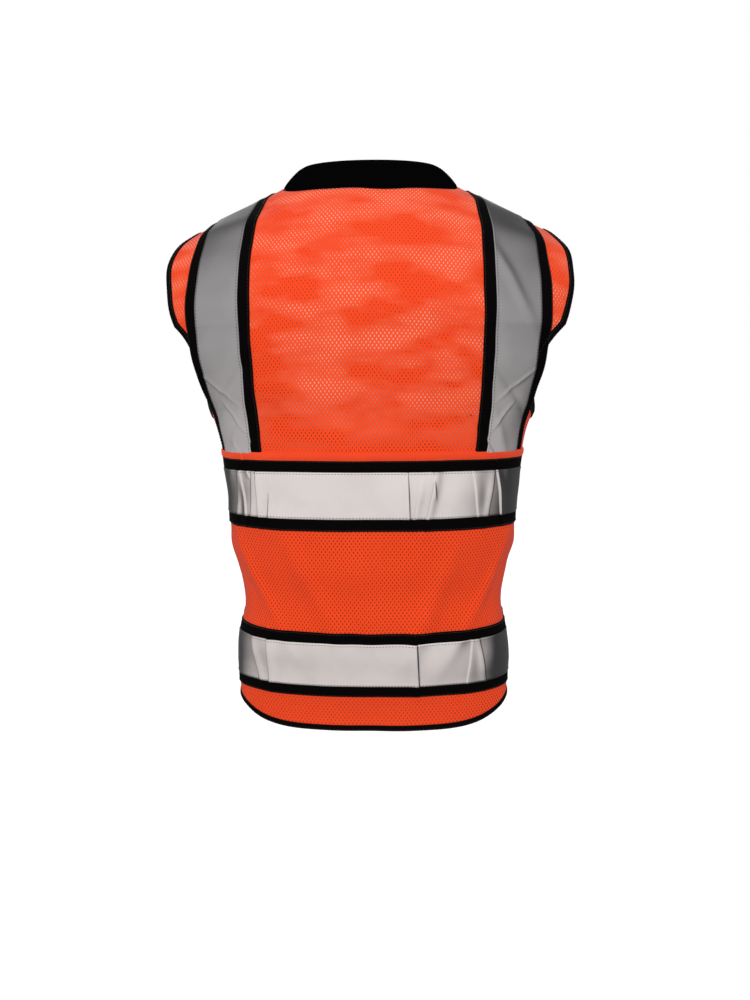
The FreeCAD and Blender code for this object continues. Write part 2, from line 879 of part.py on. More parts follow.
def zipper_slider():
    """Two plates on a wedge, with flanges that leave a slot for each tape."""
    reach = TOOTH_DEPTH + 2 * SLIDER_CLEARANCE
    top = slider_base_z() + SLIDER_LENGTH
    wedge_width = (-WEDGE_HALF_WIDTH, WEDGE_HALF_WIDTH)
    parts = slider_plate(-1) + slider_plate(1)
    parts.append(zip_box(wedge_width, around(zip_middle(), reach), (top - WEDGE_LENGTH, top)))
    lug_y = (slider_front_y() - LUG_RISE, slider_front_y())
    lug_z = (slider_base_z() + LUG_START, slider_base_z() + LUG_START + LUG_LENGTH)
    for x_low in (-LUG_INNER - LUG_WIDTH, LUG_INNER):
        parts.append(zip_box((x_low, x_low + LUG_WIDTH), lug_y, lug_z))
    reach_out = LUG_INNER + LUG_WIDTH / 2
    start = pull_pivot() - V(reach_out, 0, 0)
    parts.append(Part.makeCylinder(PIVOT_PIN_RADIUS, 2 * reach_out, start, V(1, 0, 0)))
    return placed(largest_solid(parts[0].fuse(parts[1:]).removeSplitter()))


def zipper_pull_tab():
    """A tab with an eye that turns on the slider's cross pin."""
    pivot = pull_pivot()
    neck = (-PULL_NECK_HALF_WIDTH, PULL_NECK_HALF_WIDTH)
    thickness = around(pivot.y, PULL_THICKNESS)
    start = pivot - V(PULL_NECK_HALF_WIDTH, 0, 0)
    eye = Part.makeCylinder(EYE_RADIUS, 2 * PULL_NECK_HALF_WIDTH, start, V(1, 0, 0))
    bore = Part.makeCylinder(EYE_BORE_RADIUS, 2 * PULL_NECK_HALF_WIDTH, start, V(1, 0, 0))
    stem = zip_box(neck, thickness, (pivot.z - PULL_NECK_LENGTH, pivot.z))
    plate_top = pivot.z - PULL_NECK_LENGTH + PULL_THICKNESS / 2
    plate_z = (pivot.z - PULL_LENGTH, plate_top)
    plate = zip_box((-PULL_WIDTH / 2, PULL_WIDTH / 2), thickness, plate_z)
    corners = [e for e in plate.Edges if abs(e.tangentAt(0).y) > 0.9]
    plate = plate.makeFillet(PULL_CORNER_RADIUS, corners)
    return placed(largest_solid(plate.fuse([stem, eye]).cut(bore).removeSplitter()))


def neck_seam_tape():
    """The tape that covers the neck seam inside the back."""

    def place(c, r):
        x = (2 * c - 1) * (NECK_HALF_WIDTH - NECK_TAPE_SHORT)
        z = neck_z(BACK, x) - NECK_TAPE_INSET - NECK_TAPE_WIDTH * (1 - r)
        level = level_at_z(BACK, x, z)
        return phi_at_x(BACK, x, level), level

    return cloth(BACK, place, 21, 4, -GAP - WEBBING, -GAP)


def neck_label():
    top = BACK_NECK_Z - NECK_TAPE_INSET - NECK_TAPE_WIDTH - GAP
    half = LABEL_WIDTH / 2
    return patch(BACK, -half, half, top - LABEL_HEIGHT, top, -GAP - TAPE, -GAP)


def hang_loop():
    """A loop of webbing that stands inside the back of the neck."""
    seam = neckline_point(BACK, 0)
    inset = HANG_LOOP_INSET + HANG_LOOP_WIDTH
    start = V(0, seam.y - inset, seam.z - HANG_LOOP_RADIUS)
    outer_radius = HANG_LOOP_RADIUS + HANG_LOOP_WALL
    ring = Part.makeCylinder(outer_radius, HANG_LOOP_WIDTH, start, V(0, 1, 0))
    hole = Part.makeCylinder(HANG_LOOP_RADIUS, HANG_LOOP_WIDTH, start, V(0, 1, 0))
    return ring.cut(hole)


def mic_tab():
    """A short strap across the front shoulder trim."""
    trim_middle = trim_x(MIC_TAB_TOP_Z) + WEBBING_WIDTH / 2
    level = level_at_z(FRONT, trim_middle, MIC_TAB_TOP_Z)
    start = trim_x(level) + MIC_TAB_START
    low_z = MIC_TAB_TOP_Z - MIC_TAB_WIDTH
    offsets = (OVERLAY_LEVEL, OVERLAY_LEVEL + WEBBING)
    return patch(FRONT, start, start + MIC_TAB_LENGTH, low_z, MIC_TAB_TOP_Z, *offsets)


def both_sides(parts):
    """Each left part and its mirror image on the right."""
    made = {}
    for name, shape in parts.items():
        made[name] = shape
        made[name.replace("_left", "_right")] = mirrored(shape)
    return made


def back_parts():
    parts = {
        "back_upper_mesh_panel": back_upper_mesh_panel(),
        "back_lower_mesh_panel": back_lower_mesh_panel(),
        "back_waist_fold": waist_fold(),
        "back_hem_binding": hem_binding(BACK),
        "back_collar_rib": collar(BACK),
        "neck_seam_tape": neck_seam_tape(),
        "neck_label": neck_label(),
        "hang_loop": hang_loop(),
    }
    parts.update(banded(BACK, UPPER_BAND_Z, "back_upper_band"))
    parts.update(banded(BACK, LOWER_BAND_Z, "back_lower_band"))
    parts.update(both_sides(trims(BACK, "back")))
    parts.update(both_sides({"back_armhole_binding_left": armhole_binding(BACK)}))
    return parts


def front_parts():
    lefts = {
        "front_mesh_panel_left": front_mesh_panel(),
        "front_hem_binding_left": hem_binding(FRONT),
        "front_collar_rib_left": collar(FRONT),
        "front_armhole_binding_left": armhole_binding(FRONT),
        "lower_pocket_left": pocket(LOWER_POCKET, LOWER_SWELL),
        "mic_tab_left": mic_tab(),
    }
    upper, lower = UPPER_BAND_Z + FRONT_BAND_RISE, LOWER_BAND_Z + FRONT_BAND_RISE
    lefts.update(banded(FRONT, upper, "front_upper_band", "_left"))
    lefts.update(banded(FRONT, lower, "front_lower_band", "_left"))
    lefts.update(trims(FRONT, "front"))
    parts = both_sides(lefts)
    parts["radio_pocket"] = pocket(RADIO_POCKET, RADIO_SWELL)
    parts["radio_pocket_flap"] = radio_pocket_flap()
    parts["flap_hook_patch"] = flap_hook_patch()
    parts["pocket_loop_patch"] = pocket_loop_patch()
    parts["pen_pocket"] = mirrored(pocket(PEN_POCKET, PEN_SWELL))
    return parts


def zipper_parts():
    parts = both_sides({"zipper_tape_left": zipper_tape(), "top_stop_left": top_stop()})
    parts["zipper_teeth_left"] = zipper_teeth(LEFT)
    parts["zipper_teeth_right"] = zipper_teeth(RIGHT)
    parts["insertion_pin"] = insertion_pin()
    parts["retainer_box"] = retainer_box()
    parts["zipper_slider"] = zipper_slider()
    parts["zipper_pull_tab"] = zipper_pull_tab()
    return parts


def main():
    os.makedirs("parts", exist_ok=True)
    parts = {}
    for group in (back_parts, front_parts, zipper_parts):
        parts.update(group())
    for name, shape in parts.items():
        shape.exportStep(os.path.join("parts", name + ".step"))


main()
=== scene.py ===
import json
import math

import bmesh
import bpy
import numpy as np
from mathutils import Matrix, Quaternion, Vector
from mathutils.bvhtree import BVHTree


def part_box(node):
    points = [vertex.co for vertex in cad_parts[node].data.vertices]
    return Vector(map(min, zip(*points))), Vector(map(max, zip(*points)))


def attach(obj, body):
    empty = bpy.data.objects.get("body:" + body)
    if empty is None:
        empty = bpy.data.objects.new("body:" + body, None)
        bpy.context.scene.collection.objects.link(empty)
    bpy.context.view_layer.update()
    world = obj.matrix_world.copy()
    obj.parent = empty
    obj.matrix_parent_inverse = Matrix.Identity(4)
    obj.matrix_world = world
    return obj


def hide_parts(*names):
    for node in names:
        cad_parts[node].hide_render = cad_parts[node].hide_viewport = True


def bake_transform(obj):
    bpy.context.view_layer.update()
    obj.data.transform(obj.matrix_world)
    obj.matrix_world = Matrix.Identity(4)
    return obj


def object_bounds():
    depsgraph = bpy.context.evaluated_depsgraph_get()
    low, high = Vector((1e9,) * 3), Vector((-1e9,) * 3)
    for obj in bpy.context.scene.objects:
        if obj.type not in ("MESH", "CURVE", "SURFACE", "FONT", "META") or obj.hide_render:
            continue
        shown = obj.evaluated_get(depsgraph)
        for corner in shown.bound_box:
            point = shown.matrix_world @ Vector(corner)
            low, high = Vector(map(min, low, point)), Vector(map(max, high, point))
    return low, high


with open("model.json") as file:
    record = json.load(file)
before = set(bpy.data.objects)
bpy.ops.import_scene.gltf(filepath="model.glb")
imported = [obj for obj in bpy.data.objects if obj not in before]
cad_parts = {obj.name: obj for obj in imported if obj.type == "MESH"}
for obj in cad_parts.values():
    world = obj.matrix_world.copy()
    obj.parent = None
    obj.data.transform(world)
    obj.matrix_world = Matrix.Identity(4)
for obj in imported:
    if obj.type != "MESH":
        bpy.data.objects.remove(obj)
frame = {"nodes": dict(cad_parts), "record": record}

# Looks of a high visibility vest, built on the body shape that the CAD panels hold.
# Metres; +Z up; the wearer faces -Y; side is +1 for the back and -1 for the front.

MM = 0.001
BACK, FRONT = 1, -1
ROUNDNESS = {BACK: 2.4, FRONT: 2.5}
SHOULDER_ROUNDNESS = {BACK: 1.9, FRONT: 2.3}
TURN_LENGTH = 180 * MM
RNG = np.random.default_rng(7)

# Offsets of the cloth layers from the body, and their thicknesses.
MESH_THICK = 0.8 * MM
WEBBING_AT = 1.3 * MM
WEBBING_THICK = 0.9 * MM
TAPE_AT = 2.3 * MM
TAPE_THICK = 0.4 * MM
TAPE_WIDTH = 50.8 * MM
WEBBING_WIDTH = 76.2 * MM
BINDING_WIDTH = 8.5 * MM
TAPE_STITCH_IN = 1.9 * MM
WEBBING_STITCH_IN = 1.6 * MM
TAPE_TOP = TAPE_AT + TAPE_THICK
WEBBING_TOP = WEBBING_AT + WEBBING_THICK
FRONT_EDGE = 7.5 * MM

cad_box = [list(corner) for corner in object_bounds()]


# ---------------------------------------------------------------- body read from the frame


def tree_of(*names):
    """A ray tree of the CAD nodes' meshes together."""
    points, faces = [], []
    for name in names:
        mesh = frame["nodes"][name].data
        start = len(points)
        points += [v.co.copy() for v in mesh.vertices]
        faces += [[start + i for i in p.vertices] for p in mesh.polygons]
    return BVHTree.FromPolygons(points, faces)


def reach(tree, origin, direction):
    """Distance to the first hit, or None."""
    return tree.ray_cast(Vector(origin), Vector(direction).normalized())[3]


back_tree = tree_of("back_upper_mesh_panel", "back_lower_mesh_panel")
front_tree = tree_of("front_mesh_panel_left")
CHEST = 448 * MM
HEIGHTS = np.arange(12, 447, 9) * MM


def measured(values):
    """Fills the gaps in a row of measurements, one for each height."""
    values = np.array([np.nan if v is None else v for v in values], float)
    good = ~np.isnan(values)
    return np.interp(HEIGHTS, HEIGHTS[good], values[good])


def measure_body():
    """Half width, back depth and front depth of the body at each height."""
    slant = math.radians(40)
    aim = (math.cos(slant), math.sin(slant), 0)
    back = measured([reach(back_tree, (0, 0, z), (0, 1, 0)) for z in HEIGHTS])
    front = measured([reach(front_tree, (0.012, 0, z), (0, -1, 0)) for z in HEIGHTS])
    slanted = measured([reach(back_tree, (0, 0, z), aim) for z in HEIGHTS])
    n = ROUNDNESS[BACK]
    share = 1 - (slanted * aim[1] / back) ** n
    return slanted * aim[0] / share ** (1 / n), back, front


HALF_WIDTHS, BACK_DEPTHS, FRONT_DEPTHS = measure_body()


def crest_line():
    """Height of the shoulder line at the neck and its slope, from two rays."""
    near, far = 0.112, 0.188
    tops = [0.4 + reach(back_tree, (x, 0.004, 0.4), (0, 0, 1)) for x in (near, far)]
    slope = (tops[0] - tops[1]) / (far - near)
    return tops[0] + slope * (near - NECK_HALF_WIDTH), slope


NECK_HALF_WIDTH = 95 * MM
NECK_POINT, SHOULDER_SLOPE = crest_line()


def crest_z(x):
    x = np.abs(x)
    rise = SHOULDER_SLOPE * NECK_HALF_WIDTH / 2
    inner = NECK_POINT + rise * (1 - (x / NECK_HALF_WIDTH) ** 2)
    outer = NECK_POINT - SHOULDER_SLOPE * (x - NECK_HALF_WIDTH)
    return np.where(x < NECK_HALF_WIDTH, inner, outer)


def half_width(level):
    return np.interp(np.minimum(level, CHEST), HEIGHTS, HALF_WIDTHS)


def depth(side, level):
    depths = BACK_DEPTHS if side == BACK else FRONT_DEPTHS
    return np.interp(np.minimum(level, CHEST), HEIGHTS, depths)


def power(value, exponent):
    return np.maximum(value, 0.0) ** exponent


def body(side, phi, level):
    """Points on the body. phi is 0 on the centre line and 90 degrees at the left seam.

    level is the height up to the chest, and then goes on over the shoulder.
    """
    n = ROUNDNESS[side]
    m = SHOULDER_ROUNDNESS[side]
    angle = np.radians(phi)
    x = half_width(level) * np.sign(phi) * power(np.abs(np.sin(angle)), 2 / n)
    y = depth(side, level) * power(np.cos(angle), 2 / n)
    turn = np.radians(np.clip((level - CHEST) / TURN_LENGTH, 0, 1) * 90)
    over = (crest_z(x) - CHEST) * power(np.sin(turn), 2 / m)
    z = np.where(level > CHEST, CHEST + over, level)
    y = y * power(np.cos(turn), 2 / m)
    return np.stack([x, side * y, z], axis=-1)


def body_normal(side, phi, level):
    step, rise = 0.4, 0.6 * MM
    top = CHEST + TURN_LENGTH
    across = body(side, np.minimum(phi + step, 90), level) - body(side, np.maximum(phi - step, -90), level)
    up = body(side, phi, np.minimum(level + rise, top)) - body(side, phi, level - rise)
    normal = np.cross(up, across) * side
    return normal / np.linalg.norm(normal, axis=-1, keepdims=True)


def phi_at_x(side, x, level):
    share = np.minimum(np.abs(x) / half_width(level), 1.0)
    return np.sign(x) * np.degrees(np.arcsin(share ** (ROUNDNESS[side] / 2)))


def level_at_z(side, x, z):
    share = np.clip((z - CHEST) / (crest_z(x) - CHEST), 0, 1)
    turn = np.degrees(np.arcsin(share ** (SHOULDER_ROUNDNESS[side] / 2)))
    return np.where(z <= CHEST, z, CHEST + TURN_LENGTH * turn / 90)


# Lengths along the cloth, so that weave and stitches keep their scale.
TABLE_PHI = np.linspace(-90, 90, 361)
TABLE_LEVEL = np.linspace(-0.03, CHEST + TURN_LENGTH, 321)


def length_tables(side):
    phi, level = np.meshgrid(TABLE_PHI, TABLE_LEVEL)
    points = body(side, phi, level)
    across = np.linalg.norm(np.diff(points, axis=1), axis=-1).cumsum(axis=1)
    across = np.hstack([np.zeros((len(TABLE_LEVEL), 1)), across])
    across -= across[:, [len(TABLE_PHI) // 2]]
    up = np.linalg.norm(np.diff(points, axis=0), axis=-1).cumsum(axis=0)
    up = np.vstack([np.zeros((1, len(TABLE_PHI))), up])
    return across, up


TABLES = {side: length_tables(side) for side in (BACK, FRONT)}


def look_up(table, phi, level):
    """Bilinear value of a table over phi and level."""
    i = np.clip((phi + 90) / 180 * (len(TABLE_PHI) - 1), 0, len(TABLE_PHI) - 1.001)
    low, high = TABLE_LEVEL[0], TABLE_LEVEL[-1]
    j = np.clip((level - low) / (high - low), 0, 1) * (len(TABLE_LEVEL) - 1)
    j = np.minimum(j, len(TABLE_LEVEL) - 1.001)
    i0, j0 = i.astype(int), j.astype(int)
    a, b = i - i0, j - j0
    return (
        table[j0, i0] * (1 - a) * (1 - b)
        + table[j0, i0 + 1] * a * (1 - b)
        + table[j0 + 1, i0] * (1 - a) * b
        + table[j0 + 1, i0 + 1] * a * b
    )


def cloth_uv(side, phi, level):
    across, up = TABLES[side]
    return np.stack([look_up(across, phi, level), look_up(up, phi, level)], axis=-1)


def phi_after(side, phi, level, distance):
    """The phi that lies a distance round the body from phi, at each level."""
    across = TABLES[side][0]
    start = look_up(across, phi, level)
    low, high = np.full_like(start, -90.0), np.full_like(start, 90.0)
    for _ in range(24):
        middle = (low + high) / 2
        short = look_up(across, middle, level) < start + distance
        low = np.where(short, middle, low)
        high = np.where(short, high, middle)
    return (low + high) / 2


# ---------------------------------------------------------------- folds and drape


def ridge(distance, width):
    return np.exp(-((distance / width) ** 2))


WAVES = [
    (
        RNG.uniform(45, 130) * MM,
        RNG.uniform(0, math.pi),
        RNG.uniform(0, 2 * math.pi),
        RNG.uniform(0.15, 0.42) * MM,
    )
    for _ in range(12)
]

# Folds of each side: distance from the centre, height, half length, lean, width and
# rise, in millimetres but for the lean.
FOLDS = {
    BACK: [
        (138, 352, 50, -0.45, 8, 1.7),
        (-136, 352, 50, 0.45, 8, 1.7),
        (118, 335, 24, -0.9, 5, -1.2),
        (-118, 338, 24, 0.9, 5, -1.2),
        (146, 392, 36, -0.8, 7, -1.6),
        (-150, 392, 36, 0.8, 7, -1.6),
        (-128, 470, 34, 0.25, 6, -2.2),
        (128, 455, 26, -0.25, 6, -1.8),
        (-150, 505, 40, 0.5, 7, 2.0),
        (60, 160, 55, 0.5, 13, 4.2),
        (-70, 150, 55, -0.4, 12, 4.4),
        (128, 165, 46, 0.6, 9, 4.4),
        (-134, 160, 46, -0.6, 9, 4.4),
        (5, 150, 50, 0.15, 15, 3.4),
        (40, 330, 50, 0.9, 16, 1.4),
        (-30, 345, 50, -0.9, 16, 1.4),
    ],
    FRONT: [
        (140, 355, 56, -0.45, 8, 2.6),
        (-140, 355, 56, 0.45, 8, 2.6),
        (152, 400, 44, -0.8, 7, -2.4),
        (-152, 400, 44, 0.8, 7, -2.4),
        (90, 150, 50, 0.3, 12, 2.4),
        (-90, 150, 50, -0.3, 12, 2.4),
    ],
}

# Pleats that fall off sharply on one side: the same, but the width is that of the soft
# side, and it is negative when the sharp side is the other one.
PLEATS = {
    BACK: [
        (122, 264, 34, 0.02, 7.0, 2.4),
        (108, 250, 17, -0.05, 5.0, 1.3),
        (-43, 264, 30, 0.04, -6.0, 2.0),
        (-51, 256, 24, -0.18, 6.0, 2.0),
        (-66, 262, 36, -0.20, 7.0, 3.0),
        (-70, 280, 14, 0.10, -4.0, 1.0),
        (132, 258, 30, -0.10, 6.0, 1.0),
        (143, 262, 34, 0.12, -6.0, 1.6),
        (156, 258, 34, -0.15, 6.0, 1.8),
        (-118, 262, 30, 0.14, 9.0, 1.2),
        (-136, 260, 34, -0.16, -6.0, 1.5),
        (-150, 262, 34, 0.18, 6.0, 1.8),
        (115, 80, 34, 0.02, 7.0, 2.8),
        (-52, 78, 34, 0.05, -7.0, 2.6),
        (134, 76, 30, 0.25, 7.0, 1.6),
        (-112, 80, 30, -0.15, 8.0, 1.0),
        (-128, 78, 34, 0.15, -6.0, 1.6),
        (165, 385, 18, 1.1, 4.0, 1.2),
        (150, 352, 16, 0.8, 4.0, 1.2),
        (132, 318, 18, -0.7, 5.0, 1.5),
        (142, 306, 18, 0.5, -5.0, 1.5),
        (-160, 390, 18, -1.1, 4.0, 1.2),
        (-146, 350, 16, -0.8, -4.0, 1.2),
        (-134, 316, 18, 0.7, -5.0, 1.5),
    ],
    FRONT: [
        (112, 264, 34, 0.04, 6.0, 1.4),
        (-120, 264, 34, -0.04, 6.0, 1.4),
        (70, 84, 32, 0.03, 6.0, 1.4),
        (-90, 84, 32, -0.03, 6.0, 1.4),
    ],
}
PLEAT_SHARP = 0.8 * MM

# The cloth bulges at both sides just below the upper band.
BULGE_LEVEL, BULGE_WIDTH, BULGE_RISE = 203 * MM, 15 * MM, 3.2 * MM


def pleat(off, soft):
    """A bump with a long soft side and a short sharp one."""
    off = off * np.sign(soft)
    return np.where(off < 0, ridge(off, abs(soft) * MM), ridge(off, PLEAT_SHARP))


def relief(side, phi, level):
    """How far the cloth stands out from the body: soft waves and creases."""
    uv = cloth_uv(side, phi, level)
    u, v = uv[..., 0], uv[..., 1] + TABLE_LEVEL[0]
    out = np.zeros_like(u)
    for length, heading, phase, rise in WAVES:
        along = u * math.cos(heading) * side + v * math.sin(heading)
        out += rise * np.sin(2 * math.pi * along / length + phase)
    for x, z, half, lean, width, rise in FOLDS[side]:
        down = v - z * MM
        off = u - x * MM - lean * down
        out += rise * MM * ridge(off, width * MM) * ridge(down, half * MM * 1.1)
    for x, z, half, lean, soft, rise in PLEATS[side]:
        down = v - z * MM
        off = u - x * MM - lean * down
        fade = np.clip(1.25 - np.abs(down) / (half * MM), 0, 1) ** 0.5
        out += rise * MM * pleat(off, soft) * fade
    out *= calm(side, phi, level)
    girth = np.clip((np.abs(phi) - 50) / 40, 0, 1)
    return out + BULGE_RISE * girth * ridge(level - BULGE_LEVEL, BULGE_WIDTH)


def calm(side, phi, level):
    """Share of the folds that is kept: less by the side seams and the zipper."""
    points = body(side, phi, level)
    share = np.clip(np.abs(points[..., 1]) / 0.035, 0.25, 1)
    if side == FRONT:
        share = share * np.clip((np.abs(points[..., 0]) - 0.008) / 0.03, 0, 1)
    return share


def cloth(side, phi, level, offset):
    """Points of a cloth layer at an offset from the draped body."""
    normal = body_normal(side, phi, level)
    out = offset + relief(side, phi, level)
    return body(side, phi, level) + normal * np.asarray(out)[..., None]


# ---------------------------------------------------------------- meshes


def new_object(name, points, faces, uvs=None, smooth=None):
    mesh = bpy.data.meshes.new(name)
    mesh.from_pydata([tuple(p) for p in points], [], faces)
    if uvs is not None:
        layer = mesh.uv_layers.new(name="cloth")
        corners = np.zeros(len(mesh.loops), np.int32)
        mesh.loops.foreach_get("vertex_index", corners)
        layer.data.foreach_set("uv", np.asarray(uvs)[corners].astype(np.float32).ravel())
    flags = np.ones(len(mesh.polygons), bool) if smooth is None else smooth
    mesh.polygons.foreach_set("use_smooth", flags)
    mesh.update()
    obj = bpy.data.objects.new(name, mesh)
    bpy.context.scene.collection.objects.link(obj)
    return obj


def grid_faces(rows, columns, start=0, flip=False, closed=False):
    """Quads of a grid of rows by columns; closed joins the last column to the first."""
    j, i = np.meshgrid(np.arange(rows - 1), np.arange(columns - (not closed)), indexing="ij")
    a = start + j * columns + i
    b = start + j * columns + (i + 1) % columns
    quads = np.stack([a, b, b + columns, a + columns], axis=-1).reshape(-1, 4)
    return quads[:, ::-1] if flip else quads


def slab(name, inner, outer, uv, flip):
    """A closed slab between two grids of points."""
    rows, columns = outer.shape[:2]
    count = rows * columns
    points = np.concatenate([outer.reshape(-1, 3), inner.reshape(-1, 3)])
    faces = [grid_faces(rows, columns, 0, flip), grid_faces(rows, columns, count, not flip)]
    border = np.concatenate(
        [
            np.arange(columns),
            np.arange(1, rows) * columns + columns - 1,
            (rows - 1) * columns + np.arange(columns - 2, -1, -1),
            np.arange(rows - 2, 0, -1) * columns,
        ]
    )
    after = np.roll(border, -1)
    rim = np.stack([after, border, border + count, after + count], axis=-1)
    faces.append(rim[:, ::-1] if flip else rim)
    quads = np.concatenate(faces)
    smooth = np.ones(len(quads), bool)
    smooth[-len(rim) :] = False
    flat_uv = np.concatenate([uv.reshape(-1, 2)] * 2)
    return new_object(name, points, quads.tolist(), flat_uv, smooth)


def layer(name, side, phi, level, low, high, hand=1, turned=False):
    """A slab of cloth on the body between two offsets. turned lays its weave across."""
    phi = phi * hand
    inner, outer = cloth(side, phi, level, low), cloth(side, phi, level, high)
    uv = cloth_uv(side, phi, level)
    if turned:
        uv = uv[..., ::-1]
    return slab(name, inner, outer, uv, flip=(side * hand == -1) != turned)


def soft_edges(rows, columns, thick):
    """Offsets that round a strip down at its long sides."""
    edge = 0.06
    across = np.linspace(-1, 1, rows)[:, None] * np.ones((1, columns))
    drop = np.clip((np.abs(across) - 1 + edge) / edge, 0, 1) ** 2
    return -drop * thick * 0.75


def join_meshes(name, parts):
    """One object from lists of (points, faces)."""
    points, faces = [], []
    for part_points, part_faces in parts:
        start = sum(len(p) for p in points)
        points.append(part_points)
        faces += [[start + i for i in f] for f in part_faces]
    return new_object(name, np.concatenate(points), faces)


def signed_power(value, exponent):
    return np.sign(value) * np.abs(value) ** exponent


def lengths_along(path):
    steps = np.linalg.norm(np.diff(path, axis=0), axis=1)
    return np.concatenate([[0], steps.cumsum()])


def stitch_row(path, normals, length=2.6 * MM, gap=0.9 * MM, radius=0.28 * MM):
    """Thread stitches along a path, each a small six-sided spindle."""
    along = lengths_along(path)
    count = max(int(along[-1] / (length + gap)), 1)
    starts = (np.arange(count) + 0.5) * along[-1] / count - length / 2

    def at(s, values):
        return np.stack([np.interp(s, along, values[:, k]) for k in range(3)], axis=-1)

    ring_s = np.array([0.0, 0.25, 0.75, 1.0])
    ring_r = np.array([0.25, 1.0, 1.0, 0.25])
    ring_h = np.array([-0.6, 0.35, 0.35, -0.6])
    sides = 6
    turn = np.arange(sides) * 2 * math.pi / sides
    s = starts[:, None] + ring_s[None] * length
    centre, up = at(s, path), at(s, normals)
    up /= np.linalg.norm(up, axis=-1, keepdims=True)
    tangent = at(s + 0.2 * MM, path) - at(s - 0.2 * MM, path)
    tangent /= np.maximum(np.linalg.norm(tangent, axis=-1, keepdims=True), 1e-9)
    out = np.cross(tangent, up)
    centre = centre + up * (ring_h * radius)[None, :, None]
    spread = (ring_r * radius)[None, :, None, None]
    wide = np.cos(turn)[None, None, :, None] * spread
    tall = np.sin(turn)[None, None, :, None] * spread
    rings = centre[:, :, None] + out[:, :, None] * wide + up[:, :, None] * tall
    points = rings.reshape(-1, 3)
    faces = []
    base = grid_faces(4, sides, closed=True)
    caps = [list(range(sides))[::-1], list(range(3 * sides, 4 * sides))]
    for k in range(count):
        start = k * 4 * sides
        faces += (base + start).tolist()
        faces += [[start + i for i in cap] for cap in caps]
    return points, faces


def body_row(side, phi, level, offset):
    """A path on the draped cloth and its normals, for stitches."""
    return cloth(side, phi, level, offset), body_normal(side, phi, level)


# ---------------------------------------------------------------- outlines


HEM_LOW = 5 * MM
HEM_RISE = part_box("back_hem_binding")[1].z - 4 * MM


def hem_level(phi):
    return HEM_LOW + HEM_RISE * np.abs(np.sin(np.radians(phi))) ** 5


ARMHOLE_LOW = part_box("back_armhole_binding_left")[0].z - 1 * MM
ARMHOLE_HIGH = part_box("back_armhole_binding_left")[1].z + 1 * MM
ARMHOLE_CENTRE = (ARMHOLE_LOW + ARMHOLE_HIGH) / 2
ARMHOLE_HALF = (ARMHOLE_HIGH - ARMHOLE_LOW) / 2
ARMHOLE_WIDE = 80 * MM
ARMHOLE_TAPER = 0.35


def armhole_path(side, count=160):
    """phi and level along the armhole's edge, from the lowest point to the shoulder."""
    turn = np.radians(np.linspace(0.0, 180.0, count))
    y = ARMHOLE_WIDE * np.sin(turn) * (1 + ARMHOLE_TAPER * np.cos(turn))
    z = ARMHOLE_CENTRE - ARMHOLE_HALF * np.cos(turn)
    low, high = np.zeros(count), np.full(count, 90.0)
    for _ in range(26):
        middle = (low + high) / 2
        x = half_width(z) * power(np.abs(np.sin(np.radians(middle))), 2 / ROUNDNESS[side])
        inside = z < crest_z(x)
        points = body(side, middle, level_at_z(side, x, z))
        more = inside & (np.abs(points[:, 1]) > y)
        low = np.where(more, middle, low)
        high = np.where(more, high, middle)
    phi = low
    x = body(side, phi, np.minimum(z, CHEST))[:, 0]
    level = level_at_z(side, x, z)
    level[-1] = CHEST + TURN_LENGTH
    return phi, level


ARMHOLES = {side: armhole_path(side) for side in (BACK, FRONT)}


def edge_phi(side, level):
    """The furthest phi of the cloth: the side seam, then the armhole's edge."""
    phi, path_level = ARMHOLES[side]
    inset = 1.0
    armhole = np.interp(level, path_level, phi) - inset
    return np.where(level < path_level[0], 90.0, np.minimum(armhole, 90.0))


BACK_NECK = 587 * MM
FRONT_NECK = 478 * MM


def neck_z(side, x):
    share = np.minimum(np.abs(x) / NECK_HALF_WIDTH, 1.0)
    if side == BACK:
        return NECK_POINT - (NECK_POINT - BACK_NECK) * np.sqrt(1 - share**2)
    return FRONT_NECK + (NECK_POINT - FRONT_NECK) * share**1.25


def top_level(side, x):
    """Level of the neckline, and of the shoulder seam beyond the neck."""
    level = level_at_z(side, x, neck_z(side, x))
    return np.where(np.abs(x) < NECK_HALF_WIDTH, level, CHEST + TURN_LENGTH)


# ---------------------------------------------------------------- materials


